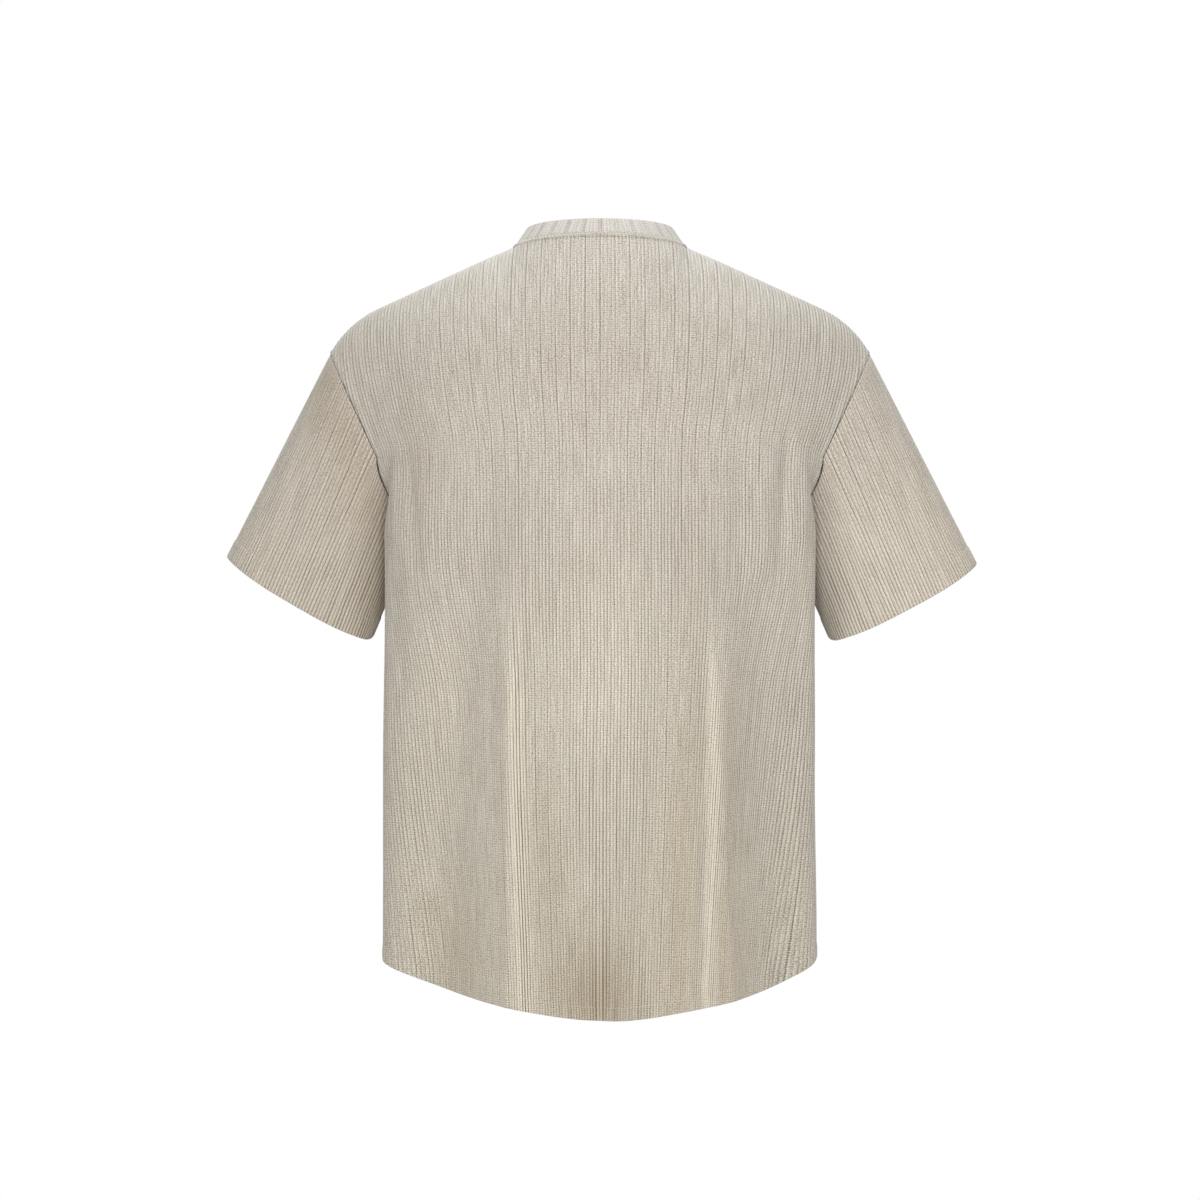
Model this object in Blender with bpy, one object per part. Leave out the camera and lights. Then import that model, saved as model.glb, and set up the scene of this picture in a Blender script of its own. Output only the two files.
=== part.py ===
"""A ribbed t-shirt, filled out as if worn: back, front, two sleeves and a stand-up neckband.

The front faces -Y, the wearer's left is +X and up is +Z. The origin is midway between the high
shoulder points, where the neck seam meets the shoulder seams. Sizes are in metres.
"""

from collections import namedtuple
from math import cos, radians, sin

import bpy
import bmesh
import numpy as np

# Cloth
CLOTH = 0.0018  # one layer of rib knit
BAND_CLOTH = 0.0027  # the neckband is folded double
SEAM_GAP = 0.0003  # between pieces that are sewn together
RIB_HEIGHT = 0.0006

# Counts
PANEL_RIBS = 42  # across the back, and across the front
NECK_COLUMNS = 14  # half ribs from the centre line to the high shoulder point
SIDE_ROWS = 7  # from hem to underarm
ROUND_ROWS = 3  # from underarm to the deepest point of the armhole
TOP_ROWS = 5  # from there to the shoulder
SLEEVE_RIBS = 32
SLEEVE_ROWS = 7
BAND_RIBS = 30

# Body
UNDERARM = -0.268  # height of the underarm point
HEM_MIDDLE = {"back": -0.7035, "front": -0.6960}
HEM_SIDE = -0.655  # height of the hem at the side seams
HEM_ROUND = 0.22  # share of the half width over which the middle of the hem rounds
HEM_SAG = {"back": 0.0028, "front": 0.0}  # how much lower it hangs on the wearer's right
SIDE_SHARE = 0.2  # share of the half width, at the side seam, that turns in towards the seam
SIDE_CURL = 1.5  # 1 turns it in evenly, and more turns it in late

# Across the shoulder blades, between the deepest points of the armholes
CROSS_HALF_WIDTH = 0.222
CROSS_DEPTH = {"back": 0.125, "front": 0.118}
CROSS_TURN = radians(67)  # where the armholes cut the section
CROSS_HEIGHT = -0.170
CROSS_DROP = 0.025  # from the centre line to the armhole
CROSS_CLOSING = 0.22  # how much closer the ribs lie at the armholes, where they run down the side
ARMHOLE_ROUND = 0.8  # 0 is a slit at the underarm and 1 is an ellipse
ARMHOLE_SHARE = 0.25  # share of the half width that the rounding reaches into the panel
SOFTENING = 30  # rounds of smoothing, which let the neck's corners fade out down the panel

# Shoulder seam, seen from the back
HIGH_SHOULDER = (0.079, 0.003)
SHOULDER_STRAIGHT = 0.140
SHOULDER_SLOPE = radians(24.6)
SHOULDER_RADIUS = 0.095
SHOULDER_END_SLOPE = radians(62)
ROLL_MIDDLE = 0.60  # how far the cloth has rolled over at the neck, where 1 is a quarter turn
ROLL_REACH = 1.5  # in half neck widths, where it has become a quarter turn

# Neck seam
NECK_DEPTH = {"back": 0.064, "front": 0.084}  # from the shoulder seams to its middle
NECK_MIDDLE = {"back": 0.010, "front": -0.058}  # height of its middle
NECK_TILT = {"back": radians(41), "front": radians(30)}  # of the cloth below it, from upright
NECK_CURVE = 1.3  # more is a rounder middle
BAND_WIDTH = {"back": 0.0185, "side": 0.0200, "front": 0.0200}
BAND_LEAN = {"back": radians(40), "side": radians(34), "front": radians(28)}
BAND_ROWS = (0.0, 0.3, 0.75, 1.0)  # shares of the width
BAND_PROUD = 0.0002  # of the body's cloth
BAND_FOLD_IN = {"outside": 0.0006, "inside": 0.0009}  # how far the fold at its top rounds in

# Level sections of the body below the underarms. `side` is the half width at the side seams,
# `widest` the half width where the section is widest and `set_back` how far behind, or in front of,
# the seams that is.
Level = namedtuple("Level", "height side widest set_back back_depth front_depth")
BODY_LEVELS = (
    Level(-0.700, 0.2016, 0.2018, 0.015, 0.114, 0.110),
    Level(-0.600, 0.2010, 0.2012, 0.015, 0.116, 0.112),
    Level(-0.500, 0.1998, 0.2002, 0.020, 0.119, 0.114),
    Level(-0.400, 0.1970, 0.1995, 0.030, 0.122, 0.116),
    Level(-0.335, 0.1875, 0.1990, 0.045, 0.124, 0.117),
    Level(-0.300, 0.1825, 0.1990, 0.051, 0.125, 0.118),
    Level(-0.268, 0.1800, 0.1988, 0.055, 0.125, 0.118),
)

# Folds that hang down a panel. Each starts at a height, is full at another and runs on to `ends`,
# where it has faded out, or to the hem. `top` and `foot` are its distances from the centre line,
# along the cloth, where it starts and at the hem. `near` and `far` are its half widths towards the
# centre line and away from it, and `rise` is its height, below 0 for a trough.
Fold = namedtuple("Fold", "panel starts full ends top foot near far rise")
FOLDS = (
    Fold("back", -0.300, -0.660, -0.900, 0.000, 0.000, 0.052, 0.052, -0.026),
    Fold("back", -0.230, -0.560, -0.900, 0.074, 0.086, 0.036, 0.021, 0.019),
    Fold("back", -0.230, -0.560, -0.900, -0.082, -0.110, 0.040, 0.022, 0.018),
    Fold("back", -0.240, -0.460, -0.900, 0.122, 0.128, 0.030, 0.034, -0.006),
    Fold("back", -0.240, -0.460, -0.900, -0.134, -0.148, 0.026, 0.030, -0.007),
    Fold("back", -0.220, -0.300, -0.480, 0.205, 0.190, 0.020, 0.024, -0.005),
    Fold("back", -0.220, -0.300, -0.480, -0.200, -0.185, 0.018, 0.024, -0.005),
    Fold("front", -0.260, -0.620, -0.900, 0.018, 0.030, 0.058, 0.050, -0.018),
    Fold("front", -0.250, -0.580, -0.900, 0.104, 0.122, 0.034, 0.026, 0.014),
    Fold("front", -0.250, -0.560, -0.900, -0.078, -0.092, 0.038, 0.026, 0.016),
    Fold("front", -0.220, -0.320, -0.520, 0.200, 0.182, 0.020, 0.024, -0.006),
    Fold("front", -0.220, -0.310, -0.500, -0.206, -0.190, 0.020, 0.024, -0.005),
)
SEAM_CALM = 0.030  # folds flatten out this near to a side seam
FOLD_PULL = 0.12  # how much of its rise a fold lifts the hem
FADE_LENGTH = 0.120  # over which a fold fades out above its end

# Each sleeve's outer and inner corner at the hem, both in the plane of the side seams
Sleeve = namedtuple("Sleeve", "name side outer_x outer_z inner_x inner_z")
SLEEVES = (
    Sleeve("sleeve_left", 1, 0.3460, -0.2855, 0.2135, -0.3632),
    Sleeve("sleeve_right", -1, 0.3495, -0.2920, 0.2150, -0.3640),
)
CUFF_HALF_DEPTH = 0.046
CUFF_DIP = 0.006  # the hem hangs lower front and back than at its corners

COLOURS = {
    "back": (0.560, 0.505, 0.420),
    "front": (0.555, 0.500, 0.415),
    "sleeve_left": (0.530, 0.475, 0.395),
    "sleeve_right": (0.530, 0.475, 0.395),
    "neckband": (0.545, 0.500, 0.430),
}


def ease(t):
    """0 to 1 with a level start and end."""
    t = np.clip(t, 0, 1)
    return t * t * (3 - 2 * t)


def unit(vectors):
    return vectors / np.linalg.norm(vectors, axis=-1, keepdims=True)


def resampled(points, count, ruler=3):
    """`count` points evenly along a line, measured in its first `ruler` coordinates."""
    steps = np.linalg.norm(np.diff(points[:, :ruler], axis=0), axis=1)
    along = np.concatenate(([0], np.cumsum(steps)))
    wanted = np.linspace(0, along[-1], count)
    return np.stack([np.interp(wanted, along, points[:, i]) for i in range(3)], axis=1)


def level_value(name, height):
    """A column of BODY_LEVELS at any height, on a smooth curve through the levels."""
    heights = np.array([level.height for level in BODY_LEVELS])
    values = np.array([getattr(level, name) for level in BODY_LEVELS])
    slopes = np.gradient(values, heights)
    height = np.clip(height, heights[0], heights[-1])
    low = np.clip(np.searchsorted(heights, height) - 1, 0, len(heights) - 2)
    span = heights[low + 1] - heights[low]
    t = (height - heights[low]) / span
    bend = t * (1 - t) * span
    return (
        values[low] * (1 - ease(t))
        + values[low + 1] * ease(t)
        + bend * ((1 - t) * slopes[low] - t * slopes[low + 1])
    )


def hem_height(panel, across):
    share = across / np.abs(across).max()
    curve = (np.hypot(share, HEM_ROUND) - HEM_ROUND) / (np.hypot(1, HEM_ROUND) - HEM_ROUND)
    sag = HEM_SAG[panel] * (1 - (2 * share + 1) ** 4) * (share < 0)
    return HEM_MIDDLE[panel] + (HEM_SIDE - HEM_MIDDLE[panel]) * curve - sag


def section(panel, around, height):
    """x and y of a level section, without folds. `around` is -1 and 1 at the side seams."""
    side = level_value("side", height)
    widest = level_value("widest", height)
    set_back = level_value("set_back", height)
    depth = level_value(panel + "_depth", height)
    turn = np.clip(np.abs(around) / (1 - SIDE_SHARE), 0, 1) * np.pi / 2
    past = np.clip(1 - (1 - np.abs(around)) / SIDE_SHARE, 0, 1)
    x = widest * np.sin(turn) - (widest - side) * past**SIDE_CURL
    y = set_back + (depth - set_back) * np.cos(turn) - set_back * past
    return x * np.sign(around), y


def distance_across(x, y):
    """How far each point of a level section is from its middle, measured along it."""
    along = np.concatenate(([0], np.cumsum(np.hypot(np.diff(x), np.diff(y)))))
    return along - along[-1] / 2


def fold_rise(panel, across, height):
    """How far the folds push the cloth out, `across` being measured along it from the centre."""
    rise = np.zeros_like(across)
    for fold in (fold for fold in FOLDS if fold.panel == panel):
        grown = ease((fold.starts - height) / (fold.starts - fold.full))
        faded = ease((height - fold.ends) / FADE_LENGTH)
        share = (fold.starts - height) / (fold.starts - HEM_MIDDLE[panel])
        offset = across - (fold.top + (fold.foot - fold.top) * np.clip(share, 0, 1))
        outward = offset * (1 if fold.top + fold.foot >= 0 else -1) > 0
        width = np.where(outward, fold.far, fold.near)
        rise += fold.rise * grown * faded * np.exp(-((offset / width) ** 2))
    calm = ease((np.abs(across).max() - np.abs(across)) / SEAM_CALM)
    return rise * calm


def torso_row(panel, lift):
    """One row of the panel below the underarms; `lift` is 0 at the hem and 1 at the underarms."""
    around = np.linspace(-1, 1, 401)
    hem = hem_height(panel, distance_across(*section(panel, around, HEM_MIDDLE[panel])))
    height = hem * (1 - lift) + UNDERARM * lift
    x, y = section(panel, around, height)
    across = distance_across(x, y)
    slope_x, slope_y = np.gradient(x), np.gradient(y)
    length = np.hypot(slope_x, slope_y)
    rise = fold_rise(panel, across, height)
    height = height + FOLD_PULL * rise * (1 - lift)
    line = np.stack((x - slope_y / length * rise, y + slope_x / length * rise, height), axis=1)
    return resampled(line, 2 * PANEL_RIBS + 1, ruler=2)


def cross_row(panel):
    """The row across the shoulder blades, or across the chest, from armhole to armhole."""
    share = np.linspace(-1, 1, 2 * PANEL_RIBS + 1)
    turn = share * (1 + CROSS_CLOSING * (1 - share**2)) * CROSS_TURN
    x = CROSS_HALF_WIDTH * np.sin(turn)
    y = CROSS_DEPTH[panel] * np.cos(turn)
    return np.stack((x, y, CROSS_HEIGHT - CROSS_DROP * share**2), axis=1)


def shoulder_point(along):
    """x, z and slope of the shoulder seam at a distance from the high shoulder point."""
    straight = min(along, SHOULDER_STRAIGHT)
    slope = SHOULDER_SLOPE + (along - straight) / SHOULDER_RADIUS
    across = sin(slope) - sin(SHOULDER_SLOPE)
    down = cos(SHOULDER_SLOPE) - cos(slope)
    x = HIGH_SHOULDER[0] + straight * cos(SHOULDER_SLOPE) + SHOULDER_RADIUS * across
    z = HIGH_SHOULDER[1] - straight * sin(SHOULDER_SLOPE) - SHOULDER_RADIUS * down
    return x, z, slope


def neck_point(panel, turn):
    """A point of the neck seam: turn is 0 in the middle of the panel and 90 degrees at its end."""
    height = HIGH_SHOULDER[1] + (NECK_MIDDLE[panel] - HIGH_SHOULDER[1]) * abs(np.cos(turn)) ** NECK_CURVE
    x = HIGH_SHOULDER[0] * np.sin(turn)
    return np.stack((x, NECK_DEPTH[panel] * np.cos(turn), height), axis=-1)


def top_row(panel):
    """The neck seam and both shoulder seams, with the directions in which they face."""
    points, facing = [], []
    curve_length = SHOULDER_RADIUS * (SHOULDER_END_SLOPE - SHOULDER_SLOPE)
    shoulder_columns = PANEL_RIBS - NECK_COLUMNS
    tilt = NECK_TILT[panel]
    for column in range(-PANEL_RIBS, PANEL_RIBS + 1):
        side = 1 if column > 0 else -1
        past_neck = abs(column) - NECK_COLUMNS
        if past_neck > 0:
            along = past_neck / shoulder_columns * (SHOULDER_STRAIGHT + curve_length)
            x, z, slope = shoulder_point(along)
            points.append((side * x, 0, z))
            facing.append((side * sin(slope), 0, cos(slope)))
        else:
            turn = radians(90) * abs(column) / NECK_COLUMNS
            x, y, z = neck_point(panel, turn)
            points.append((side * x, y, z))
            up = sin(tilt) * cos(turn) + cos(SHOULDER_SLOPE) * sin(turn)
            facing.append((side * sin(SHOULDER_SLOPE) * sin(turn), cos(tilt) * cos(turn), up))
    return np.array(points), unit(np.array(facing))


def armhole_row(low, high, rise):
    """A row between the underarm row and the cross row, rounding the foot of each armhole."""
    share = np.abs(np.linspace(-1, 1, len(low)))
    rounding = ARMHOLE_ROUND * ease(1 - (1 - share) / ARMHOLE_SHARE)
    quarter = rise * np.pi / 2
    out = (1 - rounding) * ease(rise) + rounding * np.sin(quarter)
    up = (1 - rounding) * rise + rounding * (1 - np.cos(quarter))
    shares = np.stack((out, out, up), axis=1)
    return low + (high - low) * shares


def softened(row):
    """A row with its corners taken off, for the cloth that leads up to it."""
    for _ in range(SOFTENING):
        row = np.concatenate((row[:1], (row[:-2] + row[1:-1] + row[2:]) / 3, row[-1:]))
    return row


def shoulder_row(low, high, rise):
    """A row between the cross row and the top row, where the cloth rolls over the shoulder."""
    soft = softened(high)
    high = soft + (high - soft) * rise**2
    past_neck = np.abs(np.linspace(-1, 1, len(low))) * PANEL_RIBS / NECK_COLUMNS
    end = np.pi / 2 * (ROLL_MIDDLE + (1 - ROLL_MIDDLE) * ease(past_neck / ROLL_REACH))
    turn = rise * end
    back = (1 - np.cos(turn)) / (1 - np.cos(end))
    up = np.sin(turn) / np.sin(end)
    return low + (high - low) * np.stack((up, back, up), axis=1)


def grid_normals(grid, closed=False):
    """Unit normals of rows that run upwards or along, from the points on either side of each."""
    if closed:
        padded = np.concatenate((grid[:, -1:], grid, grid[:, :1]), axis=1)
        across = (padded[:, 2:] - padded[:, :-2]) / 2
    else:
        across = np.gradient(grid, axis=1)
    return unit(np.cross(np.gradient(grid, axis=0), across))


def panel_grids(panel):
    """Outer and inner points of the back or front, both drawn with y running outwards."""
    rows = [torso_row(panel, lift) for lift in np.linspace(0, 1, SIDE_ROWS + 1)]
    cross = cross_row(panel)
    top, top_facing = top_row(panel)
    rows += [armhole_row(rows[-1], cross, rise) for rise in np.linspace(0, 1, ROUND_ROWS + 1)[1:]]
    rows += [shoulder_row(cross, top, rise) for rise in np.linspace(0, 1, TOP_ROWS + 1)[1:]]
    base = np.array(rows)

    normals = grid_normals(base)
    normals[: SIDE_ROWS + 1, (0, -1), 1] = 0
    normals = unit(normals)
    normals[-1] = top_facing
    ribs = RIB_HEIGHT * (np.arange(base.shape[1]) % 2)[None, :, None]
    outer = base + ribs * normals
    outer[-1] = base[-1]
    return outer, base - CLOTH * normals


def wall(name, outer, inner, closed=False):
    """A closed wall between an outer grid and an inner one with half its columns."""
    mesh = bpy.data.meshes.new(name)
    shell = bmesh.new()
    outside = [[shell.verts.new(point) for point in row] for row in outer]
    inside = [[shell.verts.new(point) for point in row] for row in inner[:, ::2]]
    for low, high in zip(outside, outside[1:]):
        for i in range(len(low) - (not closed)):
            shell.faces.new((low[i], low[i - len(low) + 1], high[i - len(low) + 1], high[i]))
    for low, high in zip(inside, inside[1:]):
        for i in range(len(low) - (not closed)):
            shell.faces.new((high[i], high[i - len(low) + 1], low[i - len(low) + 1], low[i]))
    for out, within in ((outside[0], inside[0]), (outside[-1], inside[-1])):
        for i in range(len(within) - (not closed)):
            last = out[(2 * i + 2) % len(out)]
            shell.faces.new((out[2 * i], out[2 * i + 1], last, within[i - len(within) + 1], within[i]))
    if not closed:
        for edge in (0, -1):
            for row in range(len(outside) - 1):
                corners = (outside[row], outside[row + 1], inside[row + 1], inside[row])
                shell.faces.new([line[edge] for line in corners])
    bmesh.ops.triangulate(shell, faces=shell.faces)
    bmesh.ops.recalc_face_normals(shell, faces=shell.faces)
    shell.to_mesh(mesh)
    shell.free()
    return add_object(name, mesh)


def add_object(name, mesh):
    thing = bpy.data.objects.new(name, mesh)
    bpy.context.collection.objects.link(thing)
    material = bpy.data.materials.new(name)
    material.use_nodes = True
    shader = material.node_tree.nodes["Principled BSDF"]
    shader.inputs["Base Color"].default_value = (*COLOURS[name], 1)
    shader.inputs["Roughness"].default_value = 0.9
    shader.inputs["Metallic"].default_value = 0
    mesh.materials.append(material)
    mesh.shade_smooth()
    return thing


def add_panel(panel, facing):
    """The back (facing 1) or the front (facing -1), half a seam gap clear of the seams' plane."""
    grids = [grid * (1, facing, 1) for grid in panel_grids(panel)]
    for grid in grids:
        grid[..., 1] += facing * SEAM_GAP / 2
    wall(panel, *grids)
    return grids


def armhole_ring(panels, side):
    """Outer and inner points round one armhole: up the back from the underarm, down the front."""
    rings = []
    for layer in (0, 1):
        edge = -1 if side > 0 else 0
        up = panels["back"][layer][SIDE_ROWS:, edge]
        down = panels["front"][layer][SIDE_ROWS:, edge][::-1]
        rings.append((up, down))
    return rings


def ring_points(edges, count):
    """Points along both edges, half on each, with the same number on every stretch between rows."""
    wanted = np.linspace(0, len(edges[0]) - 1, count // 2 + 1)
    halves = []
    for edge in edges:
        rows = np.arange(len(edge))
        halves.append(np.stack([np.interp(wanted, rows, edge[:, i]) for i in range(3)], axis=1))
    for half in halves:
        half[(0, -1), 1] = 0
    return np.concatenate((halves[0][:-1], halves[1][:-1]))


def cuff_ring(sleeve, count):
    """The sleeve's hem, from its inner corner round the back to the outer one and back."""
    outer = np.array((sleeve.outer_x, 0, sleeve.outer_z))
    inner = np.array((sleeve.inner_x, 0, sleeve.inner_z))
    turn = np.linspace(0, 2 * np.pi, count + 1)[:-1, None]
    middle, reach = (outer + inner) / 2, (outer - inner) / 2
    down = unit(np.array((reach[2], 0, -reach[0])))
    depth = np.array((0, CUFF_HALF_DEPTH, 0))
    return middle - reach * np.cos(turn) + depth * np.sin(turn) + CUFF_DIP * down * np.sin(turn) ** 2


def add_sleeve(sleeve, panels):
    count = 2 * SLEEVE_RIBS
    mirror = np.array((sleeve.side, 1, 1))
    edges_out, edges_in = armhole_ring(panels, sleeve.side)
    seam_out = ring_points(edges_out, count) * mirror
    seam_in = ring_points(edges_in, count) * mirror
    cuff = cuff_ring(sleeve, count)

    along = np.roll(seam_out, -1, axis=0) - np.roll(seam_out, 1, axis=0)
    facing = unit(seam_out - seam_in)
    onward = unit(np.cross(facing, along))
    fold = 1 - (onward * unit(cuff - seam_out)).sum(axis=1, keepdims=True)
    start = seam_out + SEAM_GAP * (onward + fold * facing)

    shares = np.linspace(0, 1, SLEEVE_ROWS + 1)
    base = np.array([start + (cuff - start) * t for t in shares])
    normals = -grid_normals(base, closed=True)
    ribs = RIB_HEIGHT * (np.arange(count) % 2)[None, :, None]
    outer = base + ribs * normals
    outer[0] = base[0]
    wall(sleeve.name, outer * mirror, (base - CLOTH * normals) * mirror, closed=True)


def band_profile(turn, panel):
    """Which way the band stands, which way it faces and how wide it is, beside one neck point."""
    middle, side = cos(turn) ** 2, sin(turn) ** 2
    lean = BAND_LEAN[panel] * middle + BAND_LEAN["side"] * side
    width = BAND_WIDTH[panel] * middle + BAND_WIDTH["side"] * side
    outward = unit(np.array((sin(turn), cos(turn), 0)))
    stand = np.array((0, 0, cos(lean))) - outward * sin(lean)
    face = outward * cos(lean) + np.array((0, 0, sin(lean)))
    return stand, face, width


def add_neckband():
    """The folded strip that stands up from the neck seam, in a ring."""
    count = 2 * BAND_RIBS
    outer, inner = [], []
    for row, share in enumerate(BAND_ROWS):
        outer_row, inner_row = [], []
        for i in range(count):
            turn = 2 * np.pi * i / count
            panel, facing = ("back", 1) if cos(turn) > -1e-9 else ("front", -1)
            local = turn if facing > 0 else np.pi - turn
            foot = neck_point(panel, local)
            stand, face, width = band_profile(local, panel)
            height = foot + stand * (SEAM_GAP * 1.5 + width * share)
            rib = RIB_HEIGHT * (i % 2) * (0 < row < len(BAND_ROWS) - 1)
            top = row == len(BAND_ROWS) - 1
            proud = BAND_PROUD - BAND_FOLD_IN["outside"] * top
            within = BAND_CLOTH - BAND_FOLD_IN["inside"] * top
            mirror = np.array((1, facing, 1))
            outer_row.append((height + face * (proud + rib)) * mirror)
            inner_row.append((height - face * (within - proud)) * mirror)
        outer.append(outer_row)
        inner.append(inner_row)
    wall("neckband", np.array(outer), np.array(inner), closed=True)


def main():
    for thing in list(bpy.data.objects):
        bpy.data.objects.remove(thing)
    panels = {"back": add_panel("back", 1), "front": add_panel("front", -1)}
    for sleeve in SLEEVES:
        add_sleeve(sleeve, panels)
    add_neckband()


main()
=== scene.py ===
from math import ceil, cos, pi, radians, sin

import bpy
import numpy as np
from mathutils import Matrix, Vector
from mathutils.kdtree import KDTree


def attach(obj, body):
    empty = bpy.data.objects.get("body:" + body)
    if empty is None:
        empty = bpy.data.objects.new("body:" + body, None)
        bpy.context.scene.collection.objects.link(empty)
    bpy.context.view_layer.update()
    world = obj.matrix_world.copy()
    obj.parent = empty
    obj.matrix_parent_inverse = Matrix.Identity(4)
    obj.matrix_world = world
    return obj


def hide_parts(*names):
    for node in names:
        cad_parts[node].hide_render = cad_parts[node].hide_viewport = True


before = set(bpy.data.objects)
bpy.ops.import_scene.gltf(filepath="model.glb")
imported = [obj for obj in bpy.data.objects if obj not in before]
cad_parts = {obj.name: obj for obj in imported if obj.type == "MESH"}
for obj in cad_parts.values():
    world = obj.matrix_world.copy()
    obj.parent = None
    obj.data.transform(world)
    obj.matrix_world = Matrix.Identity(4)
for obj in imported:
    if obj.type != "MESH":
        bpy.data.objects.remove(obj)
bpy.ops.object.select_all(action="DESELECT")
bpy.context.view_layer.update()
print("frame loaded:", ", ".join(sorted(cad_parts)))


# small helpers for shapes
def ease(t):  # runs softly from 0 to 1
    t = np.clip(t, 0, 1)
    return t * t * (3 - 2 * t)


def unit(vectors):
    return vectors / np.maximum(np.linalg.norm(vectors, axis=-1, keepdims=True), 1e-12)


def bump(distance, width):  # a soft hill, 1 at distance 0
    return np.exp(-(distance / width) ** 2)


def wave(values, seed):  # slow uneven waves between -1 and 1
    steps = np.random.default_rng(seed).uniform(0, 2 * pi, 3)
    return (
        0.5 * np.sin(values + steps[0])
        + 0.3 * np.sin(2.17 * values + steps[1])
        + 0.2 * np.sin(4.63 * values + steps[2])
    )


def runAlong(line):  # how far along a line each of its points lies
    return np.concatenate(([0], np.cumsum(np.linalg.norm(np.diff(line, axis=0), axis=1))))


def pointsAt(wanted, along, line):  # the points of a line at the wanted distances
    return np.stack([np.interp(wanted, along, line[:, i]) for i in range(3)], axis=1)


def namedRows(columns, table):
    return [dict(zip(columns, row)) for row in table]


# the cloth is a knit with a deep dotted groove between ribs and three shallow ones on each rib
knit = {
    "thickness": 0.0016,
    "pitch": 0.0122,  # from one deep groove to the next
    "shoulderPitch": 0.0133,  # where the cloth is stretched over the shoulders
    "closing": 0.05,  # how much closer the ribs lie at the ends of the shoulders
    "stretchFrom": -0.220,
    "stretchTo": -0.040,
    "columns": 8,  # of mesh to a rib
    "grooveDepth": 0.00062,
    "grooveWidth": 0.055,  # share of a rib
    "drawnGroove": 0.3,  # share of a deep groove's depth that is left where the cloth is drawn smooth
    "lip": 0.00006,  # the raised line on either side of a deep groove
    "lipWidth": 0.06,
    "shallowDepth": 0.00055,
    "shallowWaves": 4,  # to a rib, of which one falls on the deep groove
    "shallowFrom": 0.1,  # share of a rib that a deep groove keeps clear on either side
    "leaning": ((0.165, 0.060, -0.07), (-0.160, 0.060, 0.13)),  # across, width and slope of slanting ribs
    "leanFrom": -0.30,
    "wander": 0.045,  # how far a rib strays sideways, as a share of a rib
    "wanderWaves": ((2.3, 31, 5), (7.1, -17, 6)),  # ribs and mesh rows to a wave, and its seed
}


def ribRelief(ribs, loose):  # loose: 0 where the cloth is drawn smooth, 1 where it hangs freely
    beside = np.abs((ribs + 0.5) % 1 - 0.5)
    drawn = knit["drawnGroove"]
    deep = -knit["grooveDepth"] * bump(beside, knit["grooveWidth"]) * (drawn + (1 - drawn) * loose)
    lip = knit["lip"] * bump(beside - 1 / knit["columns"], knit["lipWidth"])
    waves = 0.5 + 0.5 * np.cos(2 * knit["shallowWaves"] * pi * ribs)
    return deep + lip - knit["shallowDepth"] * waves * (beside > knit["shallowFrom"]) * loose


# how the back and front are cut and hang
body = {
    "underarm": -0.268,
    "hemMiddle": {"back": -0.7035, "front": -0.6960},
    "hemSide": -0.655,
    "hemRound": 0.22,
    "hemSag": {"back": 0.0028, "front": 0.0},
    "sideShare": 0.2,  # of the half width that turns in to the side seam
    "sideCurl": 1.5,
    "seamGap": 0.0003,
}
levels = {  # level sections, from the hem up
    "height": (-0.700, -0.600, -0.500, -0.400, -0.335, -0.300, -0.268),
    "side": (0.2016, 0.2008, 0.1975, 0.1945, 0.1850, 0.1770, 0.1700),
    "widest": (0.2018, 0.2012, 0.2002, 0.1995, 0.1990, 0.1990, 0.1988),
    "setBack": (0.020, 0.028, 0.040, 0.049, 0.054, 0.055, 0.055),
    "bow": (1.35, 1.15, 1.06, 1.03, 1.00, 1.00, 1.00),  # over 1 the panel runs straighter to its sides
    "backDepth": (0.110, 0.112, 0.115, 0.119, 0.123, 0.125, 0.125),
    "frontDepth": (0.110, 0.112, 0.114, 0.116, 0.117, 0.118, 0.118),
}
chest = {  # the row between the deepest points of the armholes
    "halfWidth": 0.222,
    "depth": {"back": 0.125, "front": 0.118},
    "turn": radians(67),
    "height": -0.170,
    "drop": 0.025,
    "closing": 0.22,
    "armholeRound": 0.3,
    "armholeShare": 0.25,
}
shoulder = {
    "high": (0.079, 0.003),
    "straight": 0.140,
    "slope": radians(24.6),
    "radius": 0.095,
    "endSlope": radians(62),
    "rollMiddle": 0.60,
    "rollReach": 1.5,
    "neckShare": 1 / 3,  # of the half width at the top that is neck seam
    "softening": 0.1065,  # spread of the smoothing that fades the neck's corners
}
neck = {
    "depth": {"back": 0.064, "front": 0.084},
    "middle": {"back": 0.010, "front": -0.058},
    "tilt": {"back": radians(41), "front": radians(30)},
    "curve": 1.3,
}
foldColumns = ("starts", "full", "ends", "top", "foot", "near", "far", "rise")
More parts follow.
